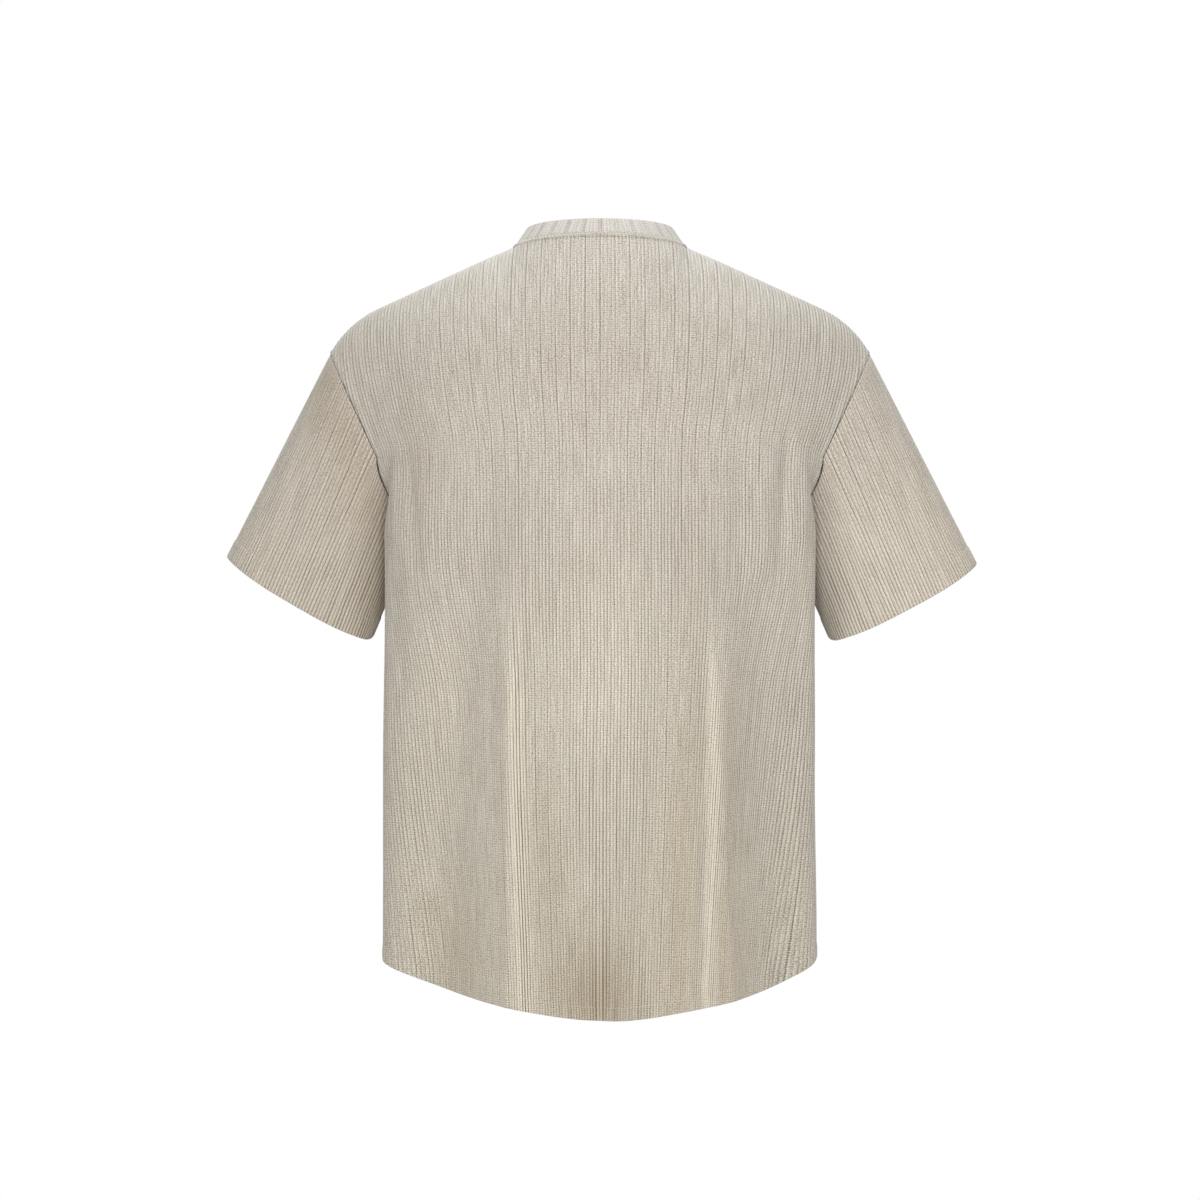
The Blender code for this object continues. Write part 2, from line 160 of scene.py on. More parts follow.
folds = {  # three heights, places across at the top and foot, widths on the inner and outer side, and rise
    "back": (
        (-0.300, -0.660, -0.900, 0.000, 0.000, 0.055, 0.052, -0.0200),
        (-0.480, -0.740, -0.900, 0.000, 0.000, 0.019, 0.019, -0.0120),
        (-0.230, -0.425, -0.900, 0.0795, 0.0800, 0.034, 0.030, 0.0205),
        (-0.230, -0.420, -0.900, -0.0920, -0.1148, 0.036, 0.034, 0.0235),
        (-0.200, -0.430, -0.780, 0.119, 0.163, 0.045, 0.050, -0.0140),
        (-0.200, -0.420, -0.780, -0.153, -0.193, 0.046, 0.048, -0.0110),
        (-0.220, -0.300, -0.480, 0.205, 0.190, 0.020, 0.024, -0.005),
        (-0.220, -0.300, -0.480, -0.200, -0.185, 0.018, 0.024, -0.005),
    ),
    "front": (
        (-0.260, -0.620, -0.900, 0.018, 0.030, 0.058, 0.050, -0.018),
        (-0.250, -0.580, -0.900, 0.104, 0.122, 0.034, 0.026, 0.014),
        (-0.250, -0.560, -0.900, -0.078, -0.092, 0.038, 0.026, 0.016),
        (-0.220, -0.320, -0.520, 0.200, 0.182, 0.020, 0.024, -0.006),
        (-0.220, -0.310, -0.500, -0.206, -0.190, 0.020, 0.024, -0.005),
    ),
}
foldHang = {
    "calm": 0.030,  # the folds die away this far from the side seams
    "pull": 0.12,  # how much a fold lifts the hem, as a share of its rise
    "fade": 0.120,  # the height over which a fold runs out at its foot
    "farPower": 1.05,  # an outward fold falls away steeply on its outer side
    "edge": 0.0015,  # rounding of its crest
}
fineColumns = 481  # of the smooth shape that the knit is laid on


def levelValue(name, height):
    heights, values = np.array(levels["height"]), np.array(levels[name])
    slopes = np.gradient(values, heights)
    height = np.clip(height, heights[0], heights[-1])
    low = np.clip(np.searchsorted(heights, height) - 1, 0, len(heights) - 2)
    span = heights[low + 1] - heights[low]
    t = (height - heights[low]) / span
    straight = values[low] * (1 - ease(t)) + values[low + 1] * ease(t)
    return straight + t * (1 - t) * span * ((1 - t) * slopes[low] - t * slopes[low + 1])


def hemHeight(panel, across):
    share = across / np.abs(across).max()
    bend = body["hemRound"]
    curve = (np.hypot(share, bend) - bend) / (np.hypot(1, bend) - bend)
    sag = body["hemSag"][panel] * (1 - (2 * share + 1) ** 4) * (share < 0)
    middle = body["hemMiddle"][panel]
    return middle + (body["hemSide"] - middle) * curve - sag


def levelSection(panel, around, height):
    side, widest = levelValue("side", height), levelValue("widest", height)
    setBack, depth = levelValue("setBack", height), levelValue(panel + "Depth", height)
    turn = np.clip(np.abs(around) / (1 - body["sideShare"]), 0, 1) * pi / 2
    bow = levelValue("bow", height)
    past = np.clip(1 - (1 - np.abs(around)) / body["sideShare"], 0, 1)
    x = widest * np.sin(turn) - (widest - side) * past ** body["sideCurl"]
    y = setBack + (depth - setBack) * np.maximum(np.cos(turn), 0) ** bow - setBack * past
    return x * np.sign(around), y


def distanceAcross(x, y):
    along = np.concatenate(([0], np.cumsum(np.hypot(np.diff(x), np.diff(y)))))
    return along - along[-1] / 2


def foldPlace(panel, fold, across, height):  # how far the fold has grown, and the distance out from it
    grown = ease((fold["starts"] - height) / (fold["starts"] - fold["full"]))
    grown = grown * ease((height - fold["ends"]) / foldHang["fade"])
    down = (fold["starts"] - height) / (fold["starts"] - body["hemMiddle"][panel])
    offset = across - fold["top"] - (fold["foot"] - fold["top"]) * np.clip(down, 0, 1)
    return grown, offset * (1 if fold["top"] + fold["foot"] >= 0 else -1)


def foldRise(panel, across, height):
    rise = np.zeros_like(across)
    for fold in namedRows(foldColumns, folds[panel]):
        grown, offset = foldPlace(panel, fold, across, height)
        outward = offset > 0
        width = np.where(outward, fold["far"], fold["near"])
        crest = outward & (fold["rise"] > 0)
        rounded = np.hypot(offset, foldHang["edge"]) - foldHang["edge"]
        away = np.where(crest, rounded, np.abs(offset)) / width
        power = np.where(crest, foldHang["farPower"], 2)
        rise += fold["rise"] * grown * np.exp(-away**power)
    return rise * ease((np.abs(across).max() - np.abs(across)) / foldHang["calm"])


def torsoRow(panel, lift):  # 0 at the hem and 1 at the underarms
    around = np.linspace(-1, 1, fineColumns)
    hem = hemHeight(panel, distanceAcross(*levelSection(panel, around, body["hemMiddle"][panel])))
    height = hem * (1 - lift) + body["underarm"] * lift
    x, y = levelSection(panel, around, height)
    across = distanceAcross(x, y)
    slopeX, slopeY = np.gradient(x), np.gradient(y)
    length = np.hypot(slopeX, slopeY)
    rise = foldRise(panel, across, height)
    line = np.stack((x - slopeY / length * rise, y + slopeX / length * rise,
                     height + foldHang["pull"] * rise * (1 - lift)), axis=1)
    along = distanceAcross(line[:, 0], line[:, 1])
    return pointsAt(np.linspace(along[0], along[-1], fineColumns), along, line)


def chestRow(panel):
    share = np.linspace(-1, 1, fineColumns)
    turn = share * (1 + chest["closing"] * (1 - share**2)) * chest["turn"]
    x, y = chest["halfWidth"] * np.sin(turn), chest["depth"][panel] * np.cos(turn)
    return np.stack((x, y, chest["height"] - chest["drop"] * share**2), axis=1)


def shoulderPoint(along):  # x, z and slope of the shoulder seam
    straight = np.minimum(along, shoulder["straight"])
    start = shoulder["slope"]
    slope = start + (along - straight) / shoulder["radius"]
    x = shoulder["high"][0] + straight * cos(start) + shoulder["radius"] * (np.sin(slope) - sin(start))
    z = shoulder["high"][1] - straight * sin(start) - shoulder["radius"] * (cos(start) - np.cos(slope))
    return x, z, slope


def neckPoint(panel, turn):  # 0 in the middle of the panel and a quarter turn at its end
    high = shoulder["high"][1]
    height = high + (neck["middle"][panel] - high) * np.abs(np.cos(turn)) ** neck["curve"]
    x, y = shoulder["high"][0] * np.sin(turn), neck["depth"][panel] * np.cos(turn)
    return np.stack((x, y, height), axis=-1)


def topRow(panel):  # neck seam and shoulder seams, and the way they face
    share = np.linspace(-1, 1, fineColumns)
    side, size = np.sign(share), np.abs(share)
    pastNeck = np.clip((size - shoulder["neckShare"]) / (1 - shoulder["neckShare"]), 0, 1)
    length = shoulder["straight"] + shoulder["radius"] * (shoulder["endSlope"] - shoulder["slope"])
    x, z, slope = shoulderPoint(pastNeck * length)
    seam = np.stack((x, np.zeros_like(x), z), axis=1)
    turn = np.clip(size / shoulder["neckShare"], 0, 1) * pi / 2
    atNeck = (pastNeck == 0)[:, None]
    points = np.where(atNeck, neckPoint(panel, turn), seam)
    tilt = neck["tilt"][panel]
    up = sin(tilt) * np.cos(turn) + cos(shoulder["slope"]) * np.sin(turn)
    neckFacing = np.stack((sin(shoulder["slope"]) * np.sin(turn), cos(tilt) * np.cos(turn), up), axis=1)
    seamFacing = np.stack((np.sin(slope), np.zeros_like(x), np.cos(slope)), axis=1)
    mirror = np.stack((side + (side == 0), np.ones_like(side), np.ones_like(side)), axis=1)
    return points * mirror, unit(np.where(atNeck, neckFacing, seamFacing) * mirror)


def armholeRow(low, high, rise):  # between the underarm row and the chest row
    share = np.abs(np.linspace(-1, 1, len(low)))
    rounding = chest["armholeRound"] * ease(1 - (1 - share) / chest["armholeShare"])
    quarter = rise * pi / 2
    out = (1 - rounding) * ease(rise) + rounding * sin(quarter)
    up = (1 - rounding) * rise + rounding * (1 - cos(quarter))
    return low + (high - low) * np.stack((out, out, up), axis=1)


def softened(row):  # the same row with its corners smoothed away
    spread = shoulder["softening"] * (len(row) - 1) / 2
    reach = int(4 * spread)
    kernel = bump(np.arange(-reach, reach + 1), spread * 2**0.5)
    ends = 2 * row[:1] - row[reach:0:-1], row, 2 * row[-1:] - row[-2:-reach - 2:-1]
    padded = np.concatenate(ends)
    return np.stack([np.convolve(padded[:, i], kernel / kernel.sum(), "valid") for i in range(3)], axis=1)


def shoulderRow(low, high, rise):  # between the chest row and the neck and shoulder seams
    soft = softened(high)
    high = soft + (high - soft) * rise**2
    pastNeck = np.abs(np.linspace(-1, 1, len(low))) / shoulder["neckShare"]
    roll = shoulder["rollMiddle"]
    end = pi / 2 * (roll + (1 - roll) * ease(pastNeck / shoulder["rollReach"]))
    turn = rise * end
    back = (1 - np.cos(turn)) / (1 - np.cos(end))
    up = np.sin(turn) / np.sin(end)
    return low + (high - low) * np.stack((up, back, up), axis=1)


def gridNormals(grid, closed=False):  # for rows that run up and columns that run to the left
    if closed:
        padded = np.concatenate((grid[:, -2:-1], grid, grid[:, 1:2]), axis=1)
        across = (padded[:, 2:] - padded[:, :-2]) / 2
    else:
        across = np.gradient(grid, axis=1)
    return unit(np.cross(np.gradient(grid, axis=0), across))


# mesh columns follow the ribs over a smooth shape, and a seam cuts them off
def layKnit(points, normals, ribs, level, extra=()):
    # ribs is the rib number at each point, and level the row where the courses are level
    steps = knit["columns"]
    most = ceil(np.abs(ribs).max() * steps)
    wanted = np.unique(np.concatenate((np.arange(-most, most + 1) / steps, extra)))
    rows = []
    for row, (line, facing, number) in enumerate(zip(points, normals, ribs)):
        stray = knit["wander"]
        for across, along, seed in knit["wanderWaves"]:
            stray = stray * wave(wanted / across + row / along, seed)
        kept = np.clip(wanted, number[0], number[-1])
        at = np.where(kept == wanted, np.clip(kept + stray, number[0], number[-1]), kept)
        laid = [np.interp(at, number, column) for column in (*line.T, *facing.T)]
        rows.append(np.stack((*laid, kept), axis=1))
    grid = np.array(rows)
    place, facing, number = grid[..., :3], unit(grid[..., 3:6]), grid[..., 6]
    moved = (np.diff(place, axis=0) ** 2).sum(axis=2)
    sideways = (np.diff(number, axis=0) * knit["pitch"]) ** 2
    climb = np.sqrt(np.maximum(moved - sideways, 1e-12))
    height = np.concatenate((np.zeros((1, climb.shape[1])), np.cumsum(climb, axis=0)))
    height = height - height[level]
    return place, facing, number, height


def clothPiece(name, place, number, height, masks, thickness, flip):
    if flip:  # so that faces point outwards
        place, number, height = (a[:, ::-1] for a in (place, number, height))
        masks = {label: mask[:, ::-1] for label, mask in masks.items()}
    rows, columns = number.shape
    bpy.ops.mesh.primitive_grid_add(x_subdivisions=columns - 1, y_subdivisions=rows - 1, size=1)
    piece = bpy.context.object
    piece.name = piece.data.name = name
    mesh = piece.data
    mesh.vertices.foreach_set("co", place.reshape(-1, 3).astype(np.float32).ravel())
    corner = np.zeros(len(mesh.loops), np.int32)
    mesh.loops.foreach_get("vertex_index", corner)
    knitMap = mesh.uv_layers[0]
    knitMap.name = "knit"
    flat = np.stack((number.ravel(), height.ravel()), axis=1)[corner]
    knitMap.data.foreach_set("uv", flat.astype(np.float32).ravel())
    for label, mask in masks.items():
        layer = mesh.attributes.new(label, "FLOAT", "POINT")
        layer.data.foreach_set("value", mask.astype(np.float32).ravel())
    mesh.update()
    bpy.ops.object.mode_set(mode="EDIT")
    bpy.ops.mesh.select_all(action="SELECT")
    bpy.ops.mesh.remove_doubles(threshold=0.00002)
    bpy.ops.mesh.dissolve_degenerate(threshold=0.00001)
    bpy.ops.object.mode_set(mode="OBJECT")
    bpy.ops.object.modifier_add(type="SOLIDIFY")
    piece.modifiers[-1].thickness = thickness
    piece.modifiers[-1].offset = -1
    bpy.ops.object.modifier_apply(modifier=piece.modifiers[-1].name)
    bpy.ops.object.shade_smooth()
    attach(piece, "root")
    piece.data.calc_loop_triangles()
    print(name, len(piece.data.loop_triangles), "triangles")
    piece.select_set(False)
    return piece


def edgeDistance(place, line):  # of every point of a grid from a line of points
    tree = KDTree(len(line))
    for i, point in enumerate(line):
        tree.insert(point, i)
    tree.balance()
    flat = place.reshape(-1, 3)
    return np.array([tree.find(point)[2] for point in flat]).reshape(place.shape[:2])


def closelySpaced(line, step=0.001):
    along = runAlong(line)
    return pointsAt(np.linspace(0, along[-1], int(along[-1] / step) + 2), along, line)


# seams, hems and creases are small rises and dips of the cloth
sewing = {
    "hem": 0.012,
    "cuffHem": 0.019,
    "hemRise": 0.0006,  # the turned-up cloth underneath
    "hemEnd": 0.003,  # the width over which it ends
    "foldedEdge": 0.0009,  # how far a hem's folded edge turns in
    "stitchDip": 0.0005,
    "stitchWidth": 0.0011,
    "allowance": 0.0048,  # width of the raised strip beside a seam
    "allowanceRise": 0.0005,
    "allowanceStart": 0.0014,  # widths over which the strip starts and ends
    "allowanceEnd": 0.0016,
    "softEnd": 0.001,  # how far a hem or strip begins to end before its edge
    "rolledEdge": 0.0005,
    "edgeWidth": 0.0009,
    "sunkDepth": 0.0004,  # of the cloth beside a plain seam
    "sunkWidth": 0.0035,
    "ropeWidth": 0.0052,  # of the stitched strip below the neck seam
    "ropeDip": 0.0006,
    "ropeLine": 0.0009,
    "grooveStart": 0.003,  # the grooves fade this close to a seam
    "stripEnds": 0.2,  # where the neck's strip dies away, as shares of the neck's half width
    "ropeEnds": (-0.08, 0.35),
    "calmArmhole": 0.01,  # creases fade this close to a seam
    "calmTop": 0.02,
}


def edgeFade(distance):  # the grooves are shallower on a hem's folded edge
    return 0.4 + 0.6 * ease((distance - 0.001) / 0.002)


def hemRelief(distance, width):
    turned = sewing["hemRise"] * (1 - ease((distance - width + sewing["softEnd"]) / sewing["hemEnd"]))
    stitched = -sewing["stitchDip"] * bump(distance - width, sewing["stitchWidth"])
    return turned + stitched - sewing["foldedEdge"] * bump(distance, sewing["foldedEdge"])


def seamRelief(distance, raised=True):
    edge = -sewing["rolledEdge"] * bump(distance, sewing["edgeWidth"])
    if not raised:
        return edge - sewing["sunkDepth"] * bump(distance, sewing["sunkWidth"])
    ending = ease((distance - sewing["allowance"] + sewing["softEnd"]) / sewing["allowanceEnd"])
    return edge + sewing["allowanceRise"] * (ease(distance / sewing["allowanceStart"]) * (1 - ending))


creaseColumns = ("fromAcross", "fromHeight", "toAcross", "toHeight", "bow", "width", "rise")


def creaseRelief(table, across, height):
    rise = np.zeros_like(across)
    for crease in namedRows(creaseColumns, table):
        startAcross, startHeight = crease["fromAcross"], crease["fromHeight"]
        runAcross, runHeight = crease["toAcross"] - startAcross, crease["toHeight"] - startHeight
        length = np.hypot(runAcross, runHeight)
        along = ((across - startAcross) * runAcross + (height - startHeight) * runHeight) / length**2
        beside = ((across - startAcross) * runHeight - (height - startHeight) * runAcross) / length
        beside = beside - crease["bow"] * np.sin(pi * np.clip(along, 0, 1))
        lasting = ease(along / 0.3) * ease((1 - along) / 0.3)
        rise += crease["rise"] * lasting * bump(beside, crease["width"])
    return rise


toneColumns = ("across", "height", "acrossWidth", "heightWidth", "tone")
paintedLightShadePatches = {  # painted light, lighter and warmer (over 0), and painted shade, darker (under 0)
    "back": (
        (0.010, -0.400, 0.075, 0.130, 0.80),
        (0.150, -0.420, 0.030, 0.130, 0.45),
        (-0.188, -0.300, 0.026, 0.130, 0.60),
        (0.000, -0.690, 0.042, 0.050, -1.65),
        (0.000, -0.110, 0.150, 0.070, -0.25),
        (-0.083, -0.590, 0.021, 0.260, -1.05),
        (-0.045, -0.500, 0.022, 0.160, -0.35),
        (0.050, -0.520, 0.024, 0.200, -0.80),
        (0.170, -0.220, 0.020, 0.080, -0.45),
        (-0.150, -0.560, 0.025, 0.150, -0.22),
        (0.172, -0.660, 0.045, 0.080, -0.95),
        (-0.172, -0.660, 0.045, 0.080, -0.65),
    ),
    "front": (
        (0.010, -0.380, 0.080, 0.150, 0.60),
        (0.022, -0.680, 0.045, 0.050, -0.80),
    ),
}


crestMarks = {  # each band is a distance out from the crest and a width; the first is a painted highlight along the crest, the second painted shade beyond it
    "paintedHighlight": (0.0010, 0.0090),
    "flat": (0.020, 0.010),
    "paintedShadeShare": 0.3,
    "open": (0.003, 0.0085),  # where the ribs stand apart
    "tone": 80,  # strength of the painted highlight and shade, for each metre that the fold stands out
    "loose": 50,
    "rightOut": 0.012,  # how much further out the bands lie on the right
    "growth": 3,  # they grow more slowly down the fold than it does
}


def crestBands(panel, across, height, beside, width):
    total = np.zeros_like(across)
    for fold in namedRows(foldColumns, folds[panel]):
        grown, offset = foldPlace(panel, fold, across, height)
        outward = beside + crestMarks["rightOut"] * (across < 0)
        total += max(fold["rise"], 0) * grown ** crestMarks["growth"] * bump(offset - outward, width)
    return total


# painted light and shade: the soft patches, a painted highlight along each fold's crest and painted shade
# beyond it
def paintedLightShadeAt(panel, across, height):
    tone = np.zeros_like(across)
    for patch in namedRows(toneColumns, paintedLightShadePatches[panel]):
        sideways = bump(across - patch["across"], patch["acrossWidth"])
        tone += patch["tone"] * sideways * bump(height - patch["height"], patch["heightWidth"])
    # a painted highlight along each crest, and painted shade beyond it
    paintedHighlight = crestBands(panel, across, height, *crestMarks["paintedHighlight"])
    flat = crestBands(panel, across, height, *crestMarks["flat"])
    return tone + crestMarks["tone"] * (paintedHighlight - crestMarks["paintedShadeShare"] * flat)


panelCreases = {  # across and height on the cloth, from the centre line and the shoulders' height
    "back": (
        (0.188, -0.175, 0.172, -0.330, 0.004, 0.0075, -0.0032),
        (0.206, -0.190, 0.196, -0.300, 0.002, 0.0070, 0.0022),
        (0.098, -0.190, 0.112, -0.330, 0.002, 0.0120, -0.0026),
        (-0.184, -0.150, -0.172, -0.330, -0.004, 0.0080, -0.0034),
        (-0.202, -0.180, -0.198, -0.320, -0.002, 0.0070, 0.0022),
        (-0.128, -0.170, -0.128, -0.330, 0.000, 0.0100, -0.0026),
        (-0.154, -0.160, -0.152, -0.330, 0.000, 0.0100, 0.0022),
        (-0.150, -0.484, -0.168, -0.466, 0.0020, 0.0015, -0.0012),
    ),
    "front": (
        (0.172, -0.170, 0.160, -0.320, 0.004, 0.0070, -0.0022),
        (-0.170, -0.175, -0.158, -0.335, -0.004, 0.0070, -0.0022),
        (0.060, -0.290, 0.120, -0.350, 0.006, 0.0090, -0.0012),
    ),
}


# back and front
panelCut = {
    "hemRows": (0, 0.0009, 0.0022, 0.005, 0.0085, 0.0108, 0.012, 0.0132, 0.016),
    "torsoRows": 67,
    "armholeRows": 18,
    "shoulderRows": 36,
    "topRows": (0.9600, 0.9690, 0.9730, 0.9770, 0.9860, 0.9930),  # shares of the way up from the chest row
    "facingBlend": (0.3, 0.6, 1.0),  # how far the last rows face as the seams do
    "flat": {"back": (0.560, 0.735), "front": (0.560, 0.690)},
    "area": {"back": 0.372, "front": 0.352},
}


def panelShape(panel):
    hemRows = np.array(panelCut["hemRows"]) / (body["underarm"] - body["hemMiddle"][panel])
    lifts = np.concatenate((hemRows, np.linspace(hemRows[-1], 1, panelCut["torsoRows"] + 1)[1:]))
    rows = [torsoRow(panel, lift) for lift in lifts]
    underarm = rows[-1]
    across = chestRow(panel)
    top, topFacing = topRow(panel)
    for rise in np.linspace(0, 1, panelCut["armholeRows"] + 1)[1:]:
        rows.append(armholeRow(underarm, across, rise))
    rises = np.linspace(0, panelCut["topRows"][0], panelCut["shoulderRows"])[1:]
    for rise in (*rises, *panelCut["topRows"][1:], 1.0):
        rows.append(shoulderRow(across, top, rise))
    points = np.array(rows)
    normals = gridNormals(points)
    normals[:len(lifts), (0, -1), 1] = 0
    normals = unit(normals)
    blend = np.array(panelCut["facingBlend"])[:, None, None]
    normals[-3:] = unit(normals[-3:] * (1 - blend) + topFacing * blend)
    return points, normals, len(lifts) - 1


def ribPitch(height):
    stretched = ease((height - knit["stretchFrom"]) / (knit["stretchTo"] - knit["stretchFrom"]))
    return knit["pitch"] + (knit["shoulderPitch"] - knit["pitch"]) * stretched


def panelRibs(points, chestLine):  # the rib number at each point; above the chest line ribs run straight up
    arcs = np.array([distanceAcross(row[:, 0], row[:, 1]) for row in points])
    middle = points[:, fineColumns // 2, 2]
    lean = sum(way * bump(arcs - across, width) for across, width, way in knit["leaning"])
    ribs = arcs / ribPitch(middle)[:, None]
    ribs += lean * np.minimum(points[..., 2] - knit["leanFrom"], 0) / knit["pitch"]
    top = points[-1, :, 0]
    topRibs = top / knit["shoulderPitch"] * (1 + knit["closing"] * (top / top[-1]) ** 2)
    across = points[chestLine, :, 0] / points[chestLine, -1, 0]
    for row in range(chestLine + 1, len(points)):
        share = points[row, :, 0] / points[row, -1, 0]
        rise = (row - chestLine) / (len(points) - 1 - chestLine)
        fromChest = np.interp(share, across, ribs[chestLine])
        fromTop = np.interp(share, top / top[-1], topRibs)
        ribs[row] = fromChest * (1 - ease(rise)) + fromTop * ease(rise)
    return ribs


hang = {
    "drawn": 0.30,  # looseness where the cloth is drawn smooth over the shoulders
    "drawnTo": -0.16,
    "drawnOver": 0.12,
    "pulled": 0.8,  # how smooth it is drawn on the slopes of the folds
    "slopeFrom": 0.22,
    "slopeOver": 0.30,
    "cornerPull": 0.5,  # and at the lower corners
    "cornerAcross": (0.115, 0.04),
    "cornerHeight": (-0.53, 0.07),
    "underarm": (0.13, 0.08),  # loose again beside the armholes, down to the height below
    "underarmHeight": -0.3,
}
openColumns = ("across", "width", "from", "over", "more")
openPatches = (  # where the ribs hang freely: place and width across, and how they begin, going down
    (0.000, 0.050, -0.60, 0.08, 0.70),
    (-0.150, 0.030, -0.36, 0.10, 0.50),
    (0.000, 0.090, -0.42, 0.10, 0.35),
)


def panelLooseness(panel, place, across, height, underarm):
    loose = np.ones_like(across)
    for row in range(underarm + 1):
        lift = foldRise(panel, across[row], place[row, :, 2])
        slope = np.abs(np.gradient(lift) / np.maximum(np.gradient(across[row]), 0.0005))
        loose[row] = 1 - hang["pulled"] * ease((slope - hang["slopeFrom"]) / hang["slopeOver"])
    loose *= hang["drawn"] + (1 - hang["drawn"]) * ease((hang["drawnTo"] - height) / hang["drawnOver"])
    for patch in namedRows(openColumns, openPatches):
        grown = ease((patch["from"] - height) / patch["over"])
        loose += patch["more"] * bump(across - patch["across"], patch["width"]) * grown
    (fromAcross, overAcross), (fromHeight, overHeight) = hang["cornerAcross"], hang["cornerHeight"]
    sideways = ease((np.abs(across) - fromAcross) / overAcross)
    loose *= 1 - hang["cornerPull"] * sideways * ease((fromHeight - height) / overHeight)
    loose += crestMarks["loose"] * crestBands(panel, across, height, *crestMarks["open"])
    fromAcross, overAcross = hang["underarm"]
    beside = ease((np.abs(across) - fromAcross) / overAcross) * (height > hang["underarmHeight"])
    return np.maximum(loose, hang["drawn"] + (1 - hang["drawn"]) * beside)


panelEdges = {}  # what the sleeves and stitches need of each finished piece


def makePanel(panel):
    facing = 1 if panel == "back" else -1
    points, normals, underarm = panelShape(panel)
    ribs = panelRibs(points, underarm + panelCut["armholeRows"])
    neckEnd = shoulder["high"][0] / knit["shoulderPitch"]
    aroundNeck = neckEnd * np.sin(np.linspace(0.62, 1, 12) * pi / 2)  # closer columns at the neck's corners
    extra = np.concatenate((-aroundNeck, aroundNeck))
    place, normal, number, height = layKnit(points, normals, ribs, underarm, extra)
    height = height + body["underarm"]

    outline = points[underarm:]
    fromArmhole = edgeDistance(place, closelySpaced(np.concatenate((outline[::-1, 0], outline[:, -1]))))
    fromTop = height[-1] - height
    fromHem = height - height[0]
    pitch = ribPitch(points[:, fineColumns // 2, 2])[:, None]
    fromSide = np.abs(ribs[:, -1:] - np.abs(number)) * pitch
    below = (np.arange(len(place)) <= underarm)[:, None]
    across = number * pitch

    loose = panelLooseness(panel, place, across, height, underarm)
    rise = ribRelief(number, loose) * ease(fromTop / sewing["grooveStart"]) * edgeFade(fromHem)
    rise += hemRelief(fromHem, sewing["hem"])
    rise += seamRelief(fromArmhole) * ~below
    rise += seamRelief(fromSide, raised=False) * below
    pastNeck = np.abs(place[-1:, :, 0]) / shoulder["high"][0] - 1
    rise += seamRelief(fromTop) * (1 - bump(pastNeck, sewing["stripEnds"]))
    ends = ease((sewing["ropeEnds"][0] - pastNeck) / sewing["ropeEnds"][1])
    underRope = bump(fromTop - sewing["ropeWidth"], sewing["ropeLine"]) * ends
    rise += -sewing["ropeDip"] * underRope
    # painted light and shade of the cloth, with painted shade in the dip under the rope
    raised = paintedLightShadeAt(panel, across, height) - underRope
    calm = ease(fromArmhole / sewing["calmArmhole"]) * ease(fromTop / sewing["calmTop"])
    rise += creaseRelief(panelCreases[panel], across, height) * calm
    place = place + normal * rise[..., None]
    place = place * (1, facing, 1) + (0, facing * body["seamGap"] / 2, 0)
    normal = normal * (1, facing, 1)
    # the raised mask carries painted light and shade
    masks = {"loose": loose, "raised": raised}
    piece = clothPiece(panel + "Cloth", place, number, height, masks, knit["thickness"], flip=facing > 0)
    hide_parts(panel)
    panelEdges[panel] = {"place": place, "normal": normal, "fromHem": fromHem, "fromTop": fromTop,
                         "shape": points * (1, facing, 1) + (0, facing * body["seamGap"] / 2, 0),
                         "normals": normals * (1, facing, 1), "underarm": underarm}
    return piece


# sleeves
sleeveCut = {
    "cuffHalfDepth": 0.046,
    "cuffDip": 0.006,
    "cornerRound": 0.0055,  # of the hem's inner corner
    "fullness": 0.7,  # 1 is an oval section, and less is squarer
    "capHalfWidth": 0.182,  # round the cloth from the top of the sleeve to the underarm seam, at the armhole
    "cuffHalfFlat": 0.195,  # and at the hem
    "seamRows": (0, 0.006, 0.014),  # shares of the way from the armhole to the hem
    "rows": 44,
    "rowsFrom": 0.025,
    "hemRows": (0.0165, 0.0178, 0.0190, 0.0202, 0.0220),  # distances from the hem
    "edgeRows": (0.995, 1),
    "aroundRows": 361,
    "zoneShares": (0, 3 / 16, 0.5, 13 / 16, 1),  # underarm, chest row, shoulder, chest row and underarm
    "drawn": 0.50,  # looseness at the armhole, and how far out it lets go
    "drawnOver": 0.10,
    "openFrom": 0.08,  # distance round from the top where the ribs hang freely, and the width it takes
    "tucked": (0.016, 0.032, 0.035, 0.055),  # the folded-in place, from the underarm seam and the hem
    "tuckedLoose": 0.8,
    # painted shade in the folded-in place
    "tuckedPaintedShade": -1.1,
    "flat": (0.450, 0.206),
}
sleeveCorners = {  # the hem's corners, and painted light and shade all over, low down and at the armhole, where it is a painted seam shadow
    "Left": {
        "side": 1, "outer": (0.3460, -0.2855), "inner": (0.2135, -0.3632),
        "tone": 0.06, "lowPaintedLightShade": -0.20, "seamPaintedShade": -1.00,
    },
    "Right": {
        "side": -1, "outer": (0.3495, -0.2920), "inner": (0.2150, -0.3640),
        "tone": 0.45, "lowPaintedLightShade": 0.55, "seamPaintedShade": -0.25,
    },
}
sleeveCreases = (  # across from the top of the sleeve, towards the back of it, and height above the hem
    (0.150, 0.125, 0.168, 0.070, 0.002, 0.0040, -0.0016),
    (0.160, 0.105, 0.176, 0.050, 0.002, 0.0040, -0.0016),
    (0.168, 0.085, 0.184, 0.030, 0.002, 0.0040, -0.0014),
    (0.060, 0.130, 0.075, 0.030, 0.004, 0.0100, -0.0018),
    (-0.150, 0.120, -0.170, 0.060, 0.002, 0.0045, -0.0016),
    (-0.165, 0.090, -0.182, 0.035, 0.002, 0.0045, -0.0014),
    (-0.070, 0.135, -0.082, 0.040, 0.004, 0.0100, -0.0018),
)


